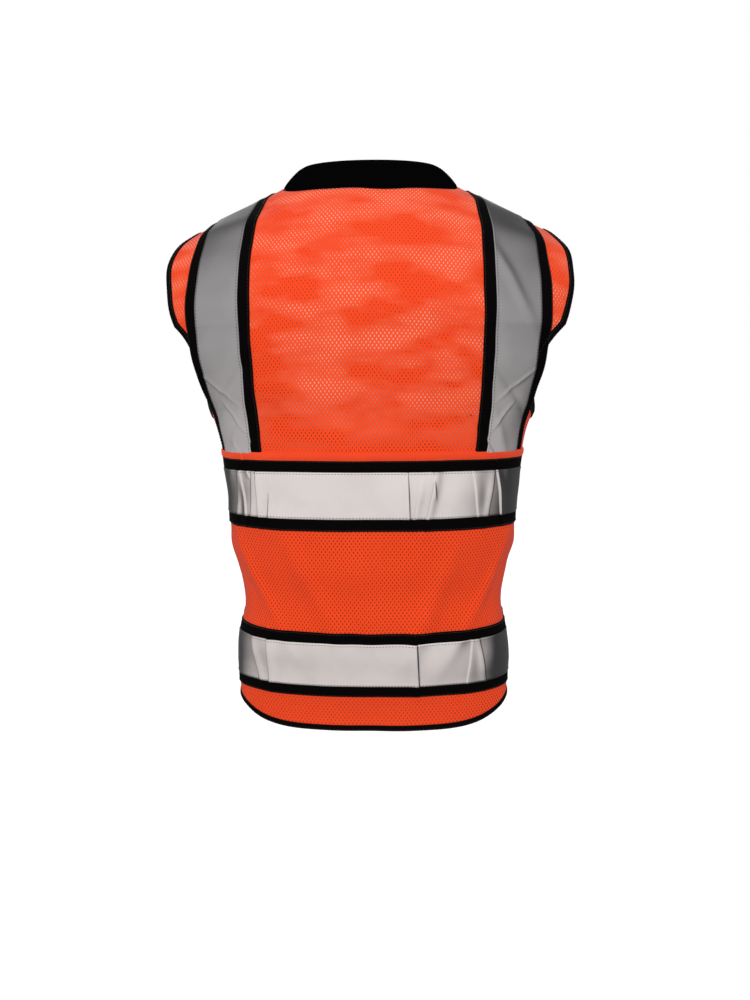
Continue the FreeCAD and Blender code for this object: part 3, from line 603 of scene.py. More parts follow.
class Nodes:
    """A new material and short calls for building its node tree."""

    def __init__(self, name, color, roughness, sheen=0.0, gloss=0.25):
        self.material = bpy.data.materials.new(name)
        self.material.use_nodes = True
        self.tree = self.material.node_tree
        self.shader = self.tree.nodes["Principled BSDF"]
        self.shader.inputs["Base Color"].default_value = (*color, 1)
        self.shader.inputs["Roughness"].default_value = roughness
        self.shader.inputs["Sheen Weight"].default_value = sheen
        self.shader.inputs["Specular IOR Level"].default_value = gloss

    def add(self, kind, **settings):
        node = self.tree.nodes.new(kind)
        for key, value in settings.items():
            setattr(node, key, value)
        return node

    def link(self, source, target):
        self.tree.links.new(source, target)

    def math(self, operation, *values, clamp=False):
        node = self.add("ShaderNodeMath", operation=operation, use_clamp=clamp)
        for slot, value in enumerate(values):
            if isinstance(value, (int, float)):
                node.inputs[slot].default_value = value
            else:
                self.link(value, node.inputs[slot])
        return node.outputs[0]

    def times(self, a, b, clamp=False):
        return self.math("MULTIPLY", a, b, clamp=clamp)

    def plus(self, a, b, clamp=False):
        return self.math("ADD", a, b, clamp=clamp)

    def minus(self, a, b, clamp=False):
        return self.math("SUBTRACT", a, b, clamp=clamp)

    def wave(self, distance, length):
        return self.math("SINE", self.times(distance, 2 * math.pi / length))

    def noise(self, vector, scale, detail=2.0):
        node = self.add("ShaderNodeTexNoise")
        node.inputs["Scale"].default_value = scale
        node.inputs["Detail"].default_value = detail
        self.link(vector, node.inputs["Vector"])
        return node.outputs[0]

    def mix_color(self, factor, a, b):
        node = self.add("ShaderNodeMix", data_type="RGBA")
        for slot, value in ((0, factor), (6, a), (7, b)):
            if isinstance(value, tuple):
                node.inputs[slot].default_value = (*value, 1)
            elif isinstance(value, float):
                node.inputs[slot].default_value = value
            else:
                self.link(value, node.inputs[slot])
        return node.outputs[2]

    def paint(self, color):
        self.link(color, self.shader.inputs["Base Color"])

    def bump(self, height, strength, distance):
        node = self.add("ShaderNodeBump")
        node.inputs["Strength"].default_value = strength
        node.inputs["Distance"].default_value = distance
        self.link(height, node.inputs["Height"])
        self.link(node.outputs[0], self.shader.inputs["Normal"])
        return node

    def uv(self):
        """Distances along and up the cloth."""
        return self.split(self.add("ShaderNodeUVMap", uv_map="cloth").outputs[0])[:2]

    def place(self):
        return self.add("ShaderNodeTexCoord").outputs["Object"]

    def split(self, vector):
        node = self.add("ShaderNodeSeparateXYZ")
        self.link(vector, node.inputs[0])
        return node.outputs


ORANGE = (0.97, 0.075, 0.012)
# Painted shade round the mesh holes, also used for a faint darker knit pattern.
ORANGE_SHADE_AND_KNIT = (0.80, 0.035, 0.006)
BLACK = (0.0022, 0.0016, 0.0018)
# Tape colours of painted reflection: a painted shade where the tape turns away, and painted highlights,
# lighter on the bands than on the upright trims and lighter on the trims' lower part.
TAPE_PAINTED_SHADE = (0.040, 0.038, 0.040)
BAND_PAINTED_HIGHLIGHT = (0.84, 0.77, 0.75)
TRIM_PAINTED_HIGHLIGHT = (0.34, 0.33, 0.335)
TRIM_LOW_PAINTED_HIGHLIGHT = (0.56, 0.52, 0.52)


def mesh_material():
    """Warp-knit mesh: staggered upright oval holes in a fluorescent ground."""
    n = Nodes("orange_mesh", ORANGE, 0.7, sheen=0.06, gloss=0.15)
    u, v = n.uv()
    place = n.place()
    pitch_u, pitch_v = 4.3 * MM, 3.1 * MM
    row = n.math("DIVIDE", v, pitch_v)
    row_index = n.math("FLOOR", row)
    odd = n.times(n.math("MODULO", n.math("ABSOLUTE", row_index), 2.0), 0.5)
    column = n.plus(n.math("DIVIDE", u, pitch_u), odd)
    off_u = n.minus(n.math("FRACT", column), 0.5)
    off_v = n.minus(n.math("FRACT", row), 0.5)
    far_u = n.math("DIVIDE", n.times(off_u, pitch_u), 0.62 * MM)
    far_v = n.math("DIVIDE", n.times(off_v, pitch_v), 1.25 * MM)
    far = n.math("SQRT", n.plus(n.times(far_u, far_u), n.times(far_v, far_v)))
    hole = n.times(n.minus(1.0, far), 3.0, clamp=True)
    ring = n.minus(1.0, n.times(n.minus(far, 1.0), 1.6), clamp=True)
    knit = n.times(n.wave(u, 0.86 * MM), n.wave(v, 0.62 * MM))
    # Painted light: streaky lit patches on the upper back, from 0.30 m up.
    stretched = n.add("ShaderNodeCombineXYZ")
    n.link(n.times(u, 14.0), stretched.inputs[0])
    n.link(n.times(v, 34.0), stretched.inputs[1])
    streak = n.noise(stretched.outputs[0], 1.0, 3.0)
    height = n.split(place)[2]
    upper = n.times(n.minus(height, 0.30), 12.0, clamp=True)
    lit = n.times(n.minus(streak, 0.40), 4.5, clamp=True)
    lit = n.times(lit, upper)
    cloudy = n.noise(place, 9.0, 3.0)
    tint = n.mix_color(cloudy, ORANGE, (0.92, 0.060, 0.010))
    # Painted highlight: the ground is lighter in the lit patches.
    tint = n.mix_color(n.times(lit, 0.5), tint, (1.0, 0.125, 0.045))
    # Painted shade: the ground darkens in a ring round each hole, with a faint darker knit pattern.
    shade = n.plus(n.times(ring, 0.28), n.times(knit, 0.08), clamp=True)
    ground = n.mix_color(shade, tint, ORANGE_SHADE_AND_KNIT)
    # Painted shade where the mesh turns its edge to the eye.
    ground = n.mix_color(turned_away(n), ground, (0.60, 0.040, 0.012))
    # The holes are painted with what shows through them: a painted shade of the vest's inside, lighter
    # above 0.37 m, and painted light in the lit patches.
    high = n.times(n.minus(height, 0.37), 14.0, clamp=True)
    inside = n.mix_color(high, (0.22, 0.006, 0.002), (0.62, 0.030, 0.008))
    inside = n.mix_color(lit, inside, (1.0, 0.62, 0.48))
    n.paint(n.mix_color(hole, ground, inside))
    n.bump(n.plus(n.times(ring, -1.0), n.times(knit, 0.3)), 0.45, 0.3 * MM)
    painted_glow(n)
    see_through = n.add("ShaderNodeBsdfTransparent")
    mixed = n.add("ShaderNodeMixShader")
    n.link(n.times(hole, 0.16), mixed.inputs[0])
    n.link(n.shader.outputs[0], mixed.inputs[1])
    n.link(see_through.outputs[0], mixed.inputs[2])
    output = n.tree.nodes["Material Output"]
    n.link(mixed.outputs[0], output.inputs["Surface"])
    return n.material


def turned_away(n):
    """Grows from 0 to 1 where the cloth turns its edge to the eye: the mask of a painted shade on the mesh.
    """
    facing = n.add("ShaderNodeLayerWeight").outputs["Facing"]
    return n.times(n.minus(facing, 0.55), 2.2, clamp=True)


def painted_glow(n):
    """A painted emission of the orange, the same whatever light falls on it; it stands for the brightness
    of the fluorescent dye.
    """
    n.shader.inputs["Emission Color"].default_value = (*ORANGE, 1)
    n.shader.inputs["Emission Strength"].default_value = 0.11


def solid_orange_material():
    n = Nodes("orange_fabric", ORANGE, 0.7, sheen=0.06)
    u, v = n.uv()
    rows = n.wave(v, 0.7 * MM)
    ribs = n.wave(u, 0.6 * MM)
    knit = n.times(rows, ribs)
    cloudy = n.noise(n.place(), 14.0, 3.0)
    tint = n.mix_color(cloudy, ORANGE, (0.88, 0.05, 0.009))
    n.paint(tint)
    n.bump(knit, 0.35, 0.2 * MM)
    painted_glow(n)
    return n.material


def webbing_material():
    """Black contrast tape: a fine ribbed plain weave with a little lint."""
    n = Nodes("black_webbing", BLACK, 0.9, gloss=0.035)
    u, v = n.uv()
    ribs = n.wave(v, 0.9 * MM)
    warp = n.wave(u, 0.7 * MM)
    weave = n.times(ribs, warp)
    lint = n.math("GREATER_THAN", n.noise(n.place(), 900.0, 1.0), 0.74)
    tint = n.mix_color(lint, BLACK, (0.009, 0.008, 0.008))
    n.paint(tint)
    n.bump(weave, 0.4, 0.25 * MM)
    return n.material


def tape_material(name, bright, dim_at, bright_at, low_bright=None):
    """Silver reflective tape, with the light that its glass beads send back the way it came
    painted into its colour.

    Painted reflection: a painted highlight, brightest where the tape faces the eye, fading
    to a painted shade where it turns away, and a little lighter where it faces +X. On the
    vertical trims a painted light makes it lighter again toward the waist, below 0.44 m.
    """
    n = Nodes(name, (0.5, 0.5, 0.5), 0.45, gloss=0.2)
    place = n.place()
    beads = n.noise(place, 2600.0, 1.0)
    smear = n.noise(place, 22.0, 4.0)
    wrinkle = n.noise(place, 55.0, 3.0)
    height = n.plus(n.times(beads, 0.12), wrinkle)
    bump = n.bump(height, 0.25, 0.8 * MM)
    # Painted reflection: the colour follows how squarely the bumped tape faces the eye.
    weight = n.add("ShaderNodeLayerWeight")
    n.link(bump.outputs[0], weight.inputs["Normal"])
    facing = n.minus(1.0, weight.outputs["Facing"])
    # Painted light from one side: a little lighter where the tape faces +X.
    sideways = n.split(n.add("ShaderNodeNewGeometry").outputs["Normal"])[0]
    facing = n.plus(facing, n.times(sideways, 0.16))
    # Painted light on the upright trims: lighter toward the waist, below 0.44 m.
    if low_bright:
        low = n.minus(0.44, n.split(place)[2])
        low = n.times(low, 7.0, clamp=True)
        facing = n.plus(facing, n.times(low, 0.40))
        bright = n.mix_color(low, bright, low_bright)
    back = n.add("ShaderNodeMapRange", interpolation_type="SMOOTHSTEP")
    n.link(facing, back.inputs[0])
    back.inputs[1].default_value = dim_at
    back.inputs[2].default_value = bright_at
    patchy = n.plus(n.times(smear, 0.36), 0.80)
    share = n.times(back.outputs[0], patchy, clamp=True)
    n.paint(n.mix_color(share, TAPE_PAINTED_SHADE, bright))
    return n.material


def rib_material():
    n = Nodes("rib_knit", BLACK, 0.95, gloss=0.012)
    v = n.uv()[1]
    loops = n.wave(v, 1.1 * MM)
    fuzz = n.noise(n.place(), 700.0, 2.0)
    tint = n.mix_color(fuzz, (0.0008, 0.0006, 0.0007), (0.003, 0.0025, 0.0026))
    n.paint(tint)
    height = n.plus(n.times(loops, 0.5), fuzz)
    n.bump(height, 0.5, 0.3 * MM)
    return n.material


def binding_material():
    n = Nodes("black_binding", BLACK, 0.85, gloss=0.04)
    u, v = n.uv()
    slant = n.plus(u, v)
    twill = n.wave(slant, 0.8 * MM)
    fuzz = n.noise(n.place(), 800.0, 1.0)
    tint = n.mix_color(fuzz, (0.0015, 0.0012, 0.0013), (0.005, 0.004, 0.004))
    n.paint(tint)
    n.bump(twill, 0.35, 0.2 * MM)
    return n.material


def thread_material(name, color):
    n = Nodes(name, color, 0.5, sheen=0.2)
    twist = n.noise(n.place(), 1500.0, 1.0)
    tint = n.mix_color(twist, color, tuple(c * 0.6 for c in color))
    n.paint(tint)
    n.bump(twist, 0.3, 0.1 * MM)
    return n.material


def plastic_material():
    n = Nodes("black_plastic", (0.012, 0.012, 0.013), 0.38)
    grain = n.noise(n.place(), 1200.0, 2.0)
    n.link(n.plus(n.times(grain, 0.2), 0.28), n.shader.inputs["Roughness"])
    n.bump(grain, 0.15, 0.05 * MM)
    return n.material


def label_material():
    n = Nodes("label_fabric", (0.75, 0.75, 0.73), 0.5, sheen=0.3)
    u, v = n.uv()
    weave = n.wave(n.plus(u, v), 0.5 * MM)
    cloudy = n.noise(n.place(), 60.0)
    n.paint(n.mix_color(cloudy, (0.78, 0.78, 0.76), (0.68, 0.68, 0.66)))
    n.bump(weave, 0.3, 0.1 * MM)
    return n.material


def velcro_material():
    n = Nodes("hook_and_loop", BLACK, 0.9, sheen=0.6)
    fuzz = n.noise(n.place(), 1600.0, 3.0)
    n.paint(n.mix_color(fuzz, (0.004, 0.004, 0.005), (0.03, 0.03, 0.032)))
    n.bump(fuzz, 1.0, 0.6 * MM)
    return n.material


MATERIALS = {
    "orange_mesh": mesh_material(),
    "orange_fabric": solid_orange_material(),
    "black_webbing": webbing_material(),
    "reflective_tape": tape_material("reflective_tape", BAND_PAINTED_HIGHLIGHT, 0.42, 0.92),
    "rib_knit": rib_material(),
    "black_binding": binding_material(),
    "black_plastic": plastic_material(),
    "label_fabric": label_material(),
    "hook_and_loop": velcro_material(),
    "zipper_tape": webbing_material(),
}
# The upright trims' copy of the tape: darker painted highlights than the bands, with a painted light toward
# the waist.
UPRIGHT_TAPE_PAINTED_SHADE = tape_material("reflective_tape_upright", TRIM_PAINTED_HIGHLIGHT, 0.30, 1.0, TRIM_LOW_PAINTED_HIGHLIGHT)
BLACK_THREAD = thread_material("black_thread", (0.01, 0.01, 0.012))
ORANGE_THREAD = thread_material("orange_thread", (0.85, 0.06, 0.012))
GREY_THREAD = thread_material("grey_thread", (0.012, 0.011, 0.012))


def dress(obj, slot_name, material=None):
    obj.data.materials.clear()
    obj.data.materials.append(material or MATERIALS[slot_name])
    return obj


def settle(obj, body_name, slot_name, nodes=(), material=None):
    """Gives a piece its material and hides the CAD nodes it stands for. It parents the piece to its body's
    empty, but for the front_left and front_right bodies it only bakes the piece's transform into its mesh.
    """
    dress(obj, slot_name, material)
    if body_name == "back" or body_name not in ("front_left", "front_right"):
        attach(obj, body_name)
    else:
        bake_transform(obj)
    if nodes:
        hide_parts(*nodes)
    return obj


def both(build, name, slot_name, node, material=None):
    """Builds the left and the right one of a piece from build(name, hand)."""
    for hand, word in ((1, "left"), (-1, "right")):
        nodes = (f"{node}_{word}",) if node else ()
        body_name = "back" if name.startswith("back") else "front_" + word
        settle(build(f"{name}_{word}", hand), body_name, slot_name, nodes, material)


def one_or_both(side, build, name, slot_name, node, material=None):
    """Builds a piece once across the back, or once for each front."""
    if side == FRONT:
        both(build, name, slot_name, node, material)
    else:
        settle(build(name), "back", slot_name, [node] if node else [], material)


# ---------------------------------------------------------------- panels


def back_lower_panel():
    share, up = np.meshgrid(np.linspace(-1, 1, 601), np.linspace(0, 1, 91))
    phi = share * 90
    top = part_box("back_waist_fold")[0].z + 1 * MM
    low = hem_level(phi)
    level = low + (top - low) * up
    obj = layer("back_lower_mesh", BACK, phi, level, 0.0, MESH_THICK)
    settle(obj, "back", "orange_mesh", ["back_lower_mesh_panel"])


def back_upper_panel():
    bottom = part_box("back_waist_fold")[0].z - 4 * MM
    c = np.linspace(-1, 1, 361)
    crest = CHEST + TURN_LENGTH
    top_phi = c * edge_phi(BACK, np.array([crest - 1e-6]))[0]
    top_x = body(BACK, top_phi, np.full_like(c, crest))[:, 0]
    top = top_level(BACK, top_x)
    up = np.linspace(0, 1, 121)[:, None]
    level = bottom + (top[None, :] - bottom) * up
    phi = c[None, :] * edge_phi(BACK, level)
    obj = layer("back_upper_mesh", BACK, phi, level, 0.0, MESH_THICK)
    settle(obj, "back", "orange_mesh", ["back_upper_mesh_panel"])


def front_panel(name, hand):
    c = np.linspace(0, 1, 181)
    crest = CHEST + TURN_LENGTH
    edge = edge_phi(FRONT, np.array([crest - 1e-6]))[0]
    start = phi_at_x(FRONT, np.array([FRONT_EDGE]), np.array([crest]))[0]
    top_x = body(FRONT, start + (edge - start) * c, np.full_like(c, crest))[:, 0]
    top = top_level(FRONT, top_x)
    up = np.linspace(0, 1, 201)[:, None]
    low = hem_level(c * 90)
    level = low + (top[None, :] - low) * up
    start = phi_at_x(FRONT, FRONT_EDGE + 0 * level, level)
    phi = start + (edge_phi(FRONT, level) - start) * c[None, :]
    return layer(name, FRONT, phi, level, 0.0, MESH_THICK, hand)


# ---------------------------------------------------------------- bands and trims


def band_phi(side, level, columns):
    """phi across a band: all round the back, or from the zipper to the side seam."""
    share = np.linspace(0, 1, columns)
    start = -90.0 if side == BACK else phi_at_x(FRONT, FRONT_EDGE + 0 * level, level)
    return start + (90.0 - start) * share


def band_columns(side):
    return 801 if side == BACK else 301


def band(name, side, low_z, high_z, at, thick, rows, hand=1):
    """A horizontal band between two heights, with its long edges rounded down."""
    columns = band_columns(side)
    level = low_z + (high_z - low_z) * np.linspace(0, 1, rows)[:, None] * np.ones((1, columns))
    high = at + thick + soft_edges(rows, columns, thick)
    return layer(name, side, band_phi(side, level, columns), level, at, high, hand)


def band_stitches(name, side, webbing, tape, hand=1):
    """Stitch rows just inside the edges of a band's tape and webbing."""
    rows = (
        (tape[0] + TAPE_STITCH_IN, TAPE_TOP),
        (tape[1] - TAPE_STITCH_IN, TAPE_TOP),
        (webbing[0] + WEBBING_STITCH_IN, WEBBING_TOP),
        (webbing[1] - WEBBING_STITCH_IN, WEBBING_TOP),
    )
    parts = []
    for z, at in rows:
        level = np.full(band_columns(side), z)
        phi = band_phi(side, level, len(level)) * hand
        parts.append(stitch_row(*body_row(side, phi, level, at)))
    return join_meshes(name, parts)


def one_band(side, word, height):
    """The webbing, the tape and the stitches of one band."""
    suffix = "" if side == BACK else "_left"
    heights = {}
    for kind in ("webbing", "tape"):
        low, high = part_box(f"{word}_{height}_band_{kind}{suffix}")
        heights[kind] = (low.z + 0.5 * MM, high.z - 0.5 * MM)
    layers = {
        "webbing": ("black_webbing", WEBBING_AT, WEBBING_THICK, 41),
        "tape": ("reflective_tape", TAPE_AT, TAPE_THICK, 33),
    }
    for kind, (slot_name, *sizes) in layers.items():

        def build(name, hand=1):
            return band(name, side, *heights[kind], *sizes, hand)

        one_or_both(side, build, f"{word}_{height}_{kind}", slot_name, f"{word}_{height}_band_{kind}")

    def stitches(name, hand=1):
        return band_stitches(name, side, heights["webbing"], heights["tape"], hand)

    name = f"{word}_{height}_band_stitches"
    one_or_both(side, stitches, name, "black_webbing", None, GREY_THREAD)


def bands():
    for height in ("upper", "lower"):
        one_band(BACK, "back", height)
        one_band(FRONT, "front", height)


TRIM_LEVELS = np.array([308, 378, 458, 538, 628]) * MM
TRIM_INNER = np.array([113, 118, 121, 118, 104]) * MM
TRIM_MARGIN = (WEBBING_WIDTH - TAPE_WIDTH) / 2


def trim_inner(level):
    """Distance from the centre of a vertical trim's inner edge."""
    fit = np.polynomial.polynomial.polyfit(TRIM_LEVELS, TRIM_INNER, 3)
    return np.polynomial.polynomial.polyval(level, fit)


def trim_grid(side, bottom, start_at, width, rows, columns):
    level = np.linspace(bottom, CHEST + TURN_LENGTH, columns)[None, :] * np.ones((rows, 1))
    inner = phi_at_x(side, trim_inner(level), level)
    along = start_at + width * np.linspace(0, 1, rows)[:, None]
    return phi_after(side, inner, level, along + 0 * level), level


def trim(name, side, bottom, start_at, width, at, thick, rows, hand):
    columns = 221
    phi, level = trim_grid(side, bottom, start_at, width, rows, columns)
    high = at + thick + soft_edges(rows, columns, thick)
    return layer(name, side, phi, level, at, high, hand, turned=True)


def trim_stitches(name, side, bottom, hand):
    rows = (
        (TRIM_MARGIN + TAPE_STITCH_IN, TAPE_TOP),
        (TRIM_MARGIN + TAPE_WIDTH - TAPE_STITCH_IN, TAPE_TOP),
        (WEBBING_STITCH_IN, WEBBING_TOP),
        (WEBBING_WIDTH - WEBBING_STITCH_IN, WEBBING_TOP),
    )
    parts = []
    for at, offset in rows:
        phi, level = trim_grid(side, bottom, at, 0.0, 2, 161)
        parts.append(stitch_row(*body_row(side, phi[0] * hand, level[0], offset)))
    return join_meshes(name, parts)


def trims():
    for side, word in ((BACK, "back"), (FRONT, "front")):
        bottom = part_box(f"{word}_shoulder_webbing_left")[0].z - 4 * MM
        webbing = (0, WEBBING_WIDTH, WEBBING_AT, WEBBING_THICK, 45)
        tape = (TRIM_MARGIN, TAPE_WIDTH, TAPE_AT, TAPE_THICK, 37)
        both(
            lambda n, hand: trim(n, side, bottom, *webbing, hand),
            f"{word}_trim_webbing",
            "black_webbing",
            f"{word}_shoulder_webbing",
        )
        both(
            lambda n, hand: trim(n, side, bottom, *tape, hand),
            f"{word}_trim_tape",
            "reflective_tape",
            f"{word}_shoulder_tape",
            UPRIGHT_TAPE_PAINTED_SHADE,
        )
        both(
            lambda n, hand: trim_stitches(n, side, bottom, hand),
            f"{word}_trim_stitches",
            "black_webbing",
            None,
            GREY_THREAD,
        )


def waist_fold():
    """The folded hem of the lower panel: a soft flattened roll of solid cloth."""
    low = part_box("back_waist_fold")[0]
    columns, rows = 801, 17
    share = np.linspace(-1, 1, columns)[None, :] * np.ones((rows, 1))
    t = np.linspace(0, 1, rows)[:, None] * np.ones((1, columns))
    level = low.z - 1.5 * MM + 8.6 * MM * t
    roll = 0.7 * MM + 1.0 * MM * power(1 - (2 * t - 1) ** 2, 0.5)
    obj = layer("back_waist_hem", BACK, share * 90, level, 1.0 * MM, WEBBING_AT + roll)
    settle(obj, "back", "orange_fabric", ["back_waist_fold"])
    level = np.full(columns, low.z + 1.2 * MM)
    row = body_row(BACK, share[0] * 90, level, WEBBING_AT + 1.5 * MM)
    obj = join_meshes("back_waist_stitches", [stitch_row(*row)])
    settle(obj, "back", "orange_fabric", material=ORANGE_THREAD)


# ---------------------------------------------------------------- bindings


def bound_edge(name, side, phi, level, flip, width=BINDING_WIDTH, thick=1.5 * MM, beyond=1.5 * MM):
    """A folded tape over a cloth edge: a flattened tube that reaches back from the edge."""
    path = cloth(side, phi, level, MESH_THICK / 2)
    normal = body_normal(side, phi, level)
    along = np.gradient(path, axis=0)
    along /= np.linalg.norm(along, axis=1, keepdims=True)
    away = np.cross(along, normal) * (-1 if flip else 1)
    away /= np.linalg.norm(away, axis=1, keepdims=True)
    ring = 24
    turn = np.arange(ring) * 2 * math.pi / ring
    wide = signed_power(np.cos(turn), 0.6)
    tall = signed_power(np.sin(turn), 0.8)
    centre = beyond - width / 2
    lengths = lengths_along(path)
    pucker = 1 + 0.10 * np.sin(lengths / (5.2 * MM) * 2 * math.pi)
    points = (
        path[:, None]
        + away[:, None] * (centre + wide * width / 2)[None, :, None]
        + normal[:, None] * (tall[None, :] * thick * pucker[:, None])[..., None]
    )
    rows = len(path)
    faces = grid_faces(rows, ring, closed=True, flip=flip).tolist()
    first, last = list(range(ring)), list(range((rows - 1) * ring, rows * ring))
    faces += [first, last[::-1]] if flip else [first[::-1], last]
    around = np.linspace(0, 2 * width, ring)
    uv = np.stack(np.broadcast_arrays(lengths[:, None], around[None, :]), axis=-1)
    obj = new_object(name, points.reshape(-1, 3), faces, uv.reshape(-1, 2))
    stitches = path + away * (beyond - width + 1.6 * MM) + normal * thick * 0.9
    return obj, stitch_row(stitches, normal)


def armhole_bindings():
    for side, word in ((BACK, "back"), (FRONT, "front")):
        phi, level = ARMHOLES[side]
        rows = {}

        def build(name, hand):
            obj, rows[hand] = bound_edge(name, side, phi * hand, level, side * hand == 1)
            return obj

        both(build, f"{word}_armhole_edge", "black_binding", f"{word}_armhole_binding")
        both(
            lambda n, hand: join_meshes(n, [rows[hand]]),
            f"{word}_armhole_stitches",
            "black_binding",
            None,
            BLACK_THREAD,
        )


def hem_bindings():
    size = (6.5 * MM, 1.3 * MM)
    phi = np.linspace(-90, 90, 401)
    obj, row = bound_edge("back_hem_edge", BACK, phi, hem_level(phi), False, *size)
    settle(obj, "back", "black_binding", ["back_hem_binding"])
    obj = join_meshes("back_hem_stitches", [row])
    settle(obj, "back", "black_binding", material=BLACK_THREAD)
    rows = {}

    def build(name, hand):
        start = phi_at_x(FRONT, np.array([FRONT_EDGE]), np.array([0.0]))[0]
        phi = np.linspace(start, 90, 221)
        flip = hand == 1
        obj, rows[hand] = bound_edge(name, FRONT, phi * hand, hem_level(phi), flip, *size)
        return obj

    both(build, "front_hem_edge", "black_binding", "front_hem_binding")
    both(
        lambda n, hand: join_meshes(n, [rows[hand]]),
        "front_hem_stitches",
        "black_binding",
        None,
        BLACK_THREAD,
    )


# ---------------------------------------------------------------- collar

COLLAR_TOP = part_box("back_collar_rib")[1].z
COLLAR_HALF = 75 * MM
COLLAR_LEAN = 0.85
COLLAR_FRONT_STEP = (-9 * MM, 6 * MM, 26 * MM)


def collar_lines(side, count):
    """Base and top lines of the rib collar, evenly spaced along the base."""
    share = np.linspace(0, 1, 400)
    if side == BACK:
        tail = np.linspace(-1, 1, 801)
        x = NECK_HALF_WIDTH * np.sign(tail) * (1 - (1 - np.abs(tail)) ** 4)
    else:
        x = NECK_HALF_WIDTH - (NECK_HALF_WIDTH - FRONT_EDGE) * share**2.3
    level = level_at_z(side, x, neck_z(side, x))
    base = body(side, phi_at_x(side, x, np.minimum(level, CHEST)), level)
    share = x / NECK_HALF_WIDTH
    toward_neck = share[:, None] ** 3
    neck_y, neck_z_row = base[:, 1] * COLLAR_LEAN, np.full_like(x, COLLAR_TOP)
    top = np.stack([share * COLLAR_HALF, neck_y, neck_z_row], axis=-1)
    if side == FRONT:
        step = np.array(COLLAR_FRONT_STEP) * np.stack([share, np.ones_like(x), np.ones_like(x)], axis=-1)
        top = (base + step) * (1 - toward_neck) + top * toward_neck
    lengths = lengths_along(base)
    even = np.linspace(0, lengths[-1], count)

    def respaced(line):
        return np.stack([np.interp(even, lengths, line[:, k]) for k in range(3)], axis=-1)

    return respaced(base), respaced(top), even


def collar(name, side, hand=1):
    """A doubled rib-knit band with upright ribs and a rolled top edge."""
    rib_pitch, per_rib = 2.1 * MM, 6
    length = collar_lines(side, 50)[2][-1]
    columns = int(length / rib_pitch) * per_rib + 1
    base, top, lengths = collar_lines(side, columns)
    base, top = base * (hand, 1, 1), top * (hand, 1, 1)
    along = np.gradient(base, axis=0)
    rise = top - base
    out = np.cross(rise, along)
    out /= np.linalg.norm(out, axis=1, keepdims=True)
    flip = (out * (base + (0, 0.03, 0)))[:, :2].sum(axis=1) < 0
    out[flip] *= -1
    rows = 20
    profile = np.linspace(0, 1, rows)
    ribs = np.cos(lengths / rib_pitch * 2 * math.pi)
    ribs = signed_power(ribs, 0.7)
    ring = []
    thick = 2.6 * MM
    for kind in ("outer", "inner"):
        order = profile if kind == "outer" else profile[::-1]
        for t in order:
            swell = thick / 2 * min(1.0, 0.55 + 3 * min(t + 0.05, 1 - t))
            crown = 1.6 * MM * (1 - (2 * t - 1) ** 2)
            sign = 1 if kind == "outer" else -1
            fade = min(1.0, (1 - t) * 6)
            lift = crown + sign * (swell + 0.34 * MM * ribs * fade)
            lift = np.broadcast_to(lift, lengths.shape)
            ring.append(base - rise * 0.04 + rise * 1.04 * t + out * lift[:, None])
    grid = np.stack(ring, axis=1)
    count = grid.shape[1]
    faces = grid_faces(columns, count, closed=True).tolist()
    faces += [list(range(count))[::-1], list(range((columns - 1) * count, columns * count))]
    heights = np.concatenate([profile, 2 - profile[::-1]]) * 33 * MM
    uv = np.stack(np.broadcast_arrays(lengths[:, None], heights[None, :]), axis=-1)
    obj = new_object(name, grid.reshape(-1, 3), faces, uv.reshape(-1, 2))
    fix_normals(obj)
    return obj


def fix_normals(obj):
    """Turns the faces outwards on a closed mesh."""
    work = bmesh.new()
    work.from_mesh(obj.data)
    bmesh.ops.recalc_face_normals(work, faces=work.faces)
    work.to_mesh(obj.data)
    work.free()


def collars():
    settle(collar("back_collar", BACK), "back", "rib_knit", ["back_collar_rib"])
    both(lambda n, hand: collar(n, FRONT, hand), "front_collar", "rib_knit", "front_collar_rib")


# ---------------------------------------------------------------- pockets and small parts


def cut_sheet(name, side, x_range, z_range, low, high, hand=1, columns=41, rows=41):
    """A rectangle of cloth between distances from the centre and heights."""
    c, r = np.meshgrid(np.linspace(0, 1, columns), np.linspace(0, 1, rows))
    x = x_range[0] + (x_range[1] - x_range[0]) * c
    level = level_at_z(side, x, z_range[0] + (z_range[1] - z_range[0]) * r)
    phi = phi_at_x(side, x, level)
    low_here = low(c, r) if callable(low) else low
    high_here = high(c, r) if callable(high) else high
    return layer(name, side, phi, level, low_here, high_here, hand)


def sheet_row(side, corners, offset, hand=1):
    """Stitches along a path of (x, z) corners on the cloth."""
    points = []
    for (xa, za), (xb, zb) in zip(corners, corners[1:]):
        t = np.linspace(0, 1, 40)
        points.append(np.stack([xa + (xb - xa) * t, za + (zb - za) * t], axis=-1))
    points = np.concatenate(points)
    level = level_at_z(side, points[:, 0], points[:, 1])
    phi = phi_at_x(side, points[:, 0], level) * hand
    return stitch_row(*body_row(side, phi, level, offset))


def node_range(node):
    """Distances from the centre and heights of a CAD node."""
    low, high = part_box(node)
    xs = sorted((abs(low.x), abs(high.x)))
    return xs, (low.z, high.z)


def pocket_face(swell, c, r):
    """Offset of a pocket's outer face: fullest in the middle, flat at its seams."""
    bulge = power(np.sin(np.pi * c), 0.6) * power(np.sin(np.pi * np.clip(r * 0.93, 0, 1)), 0.8)
    return 2.2 * MM + swell * bulge


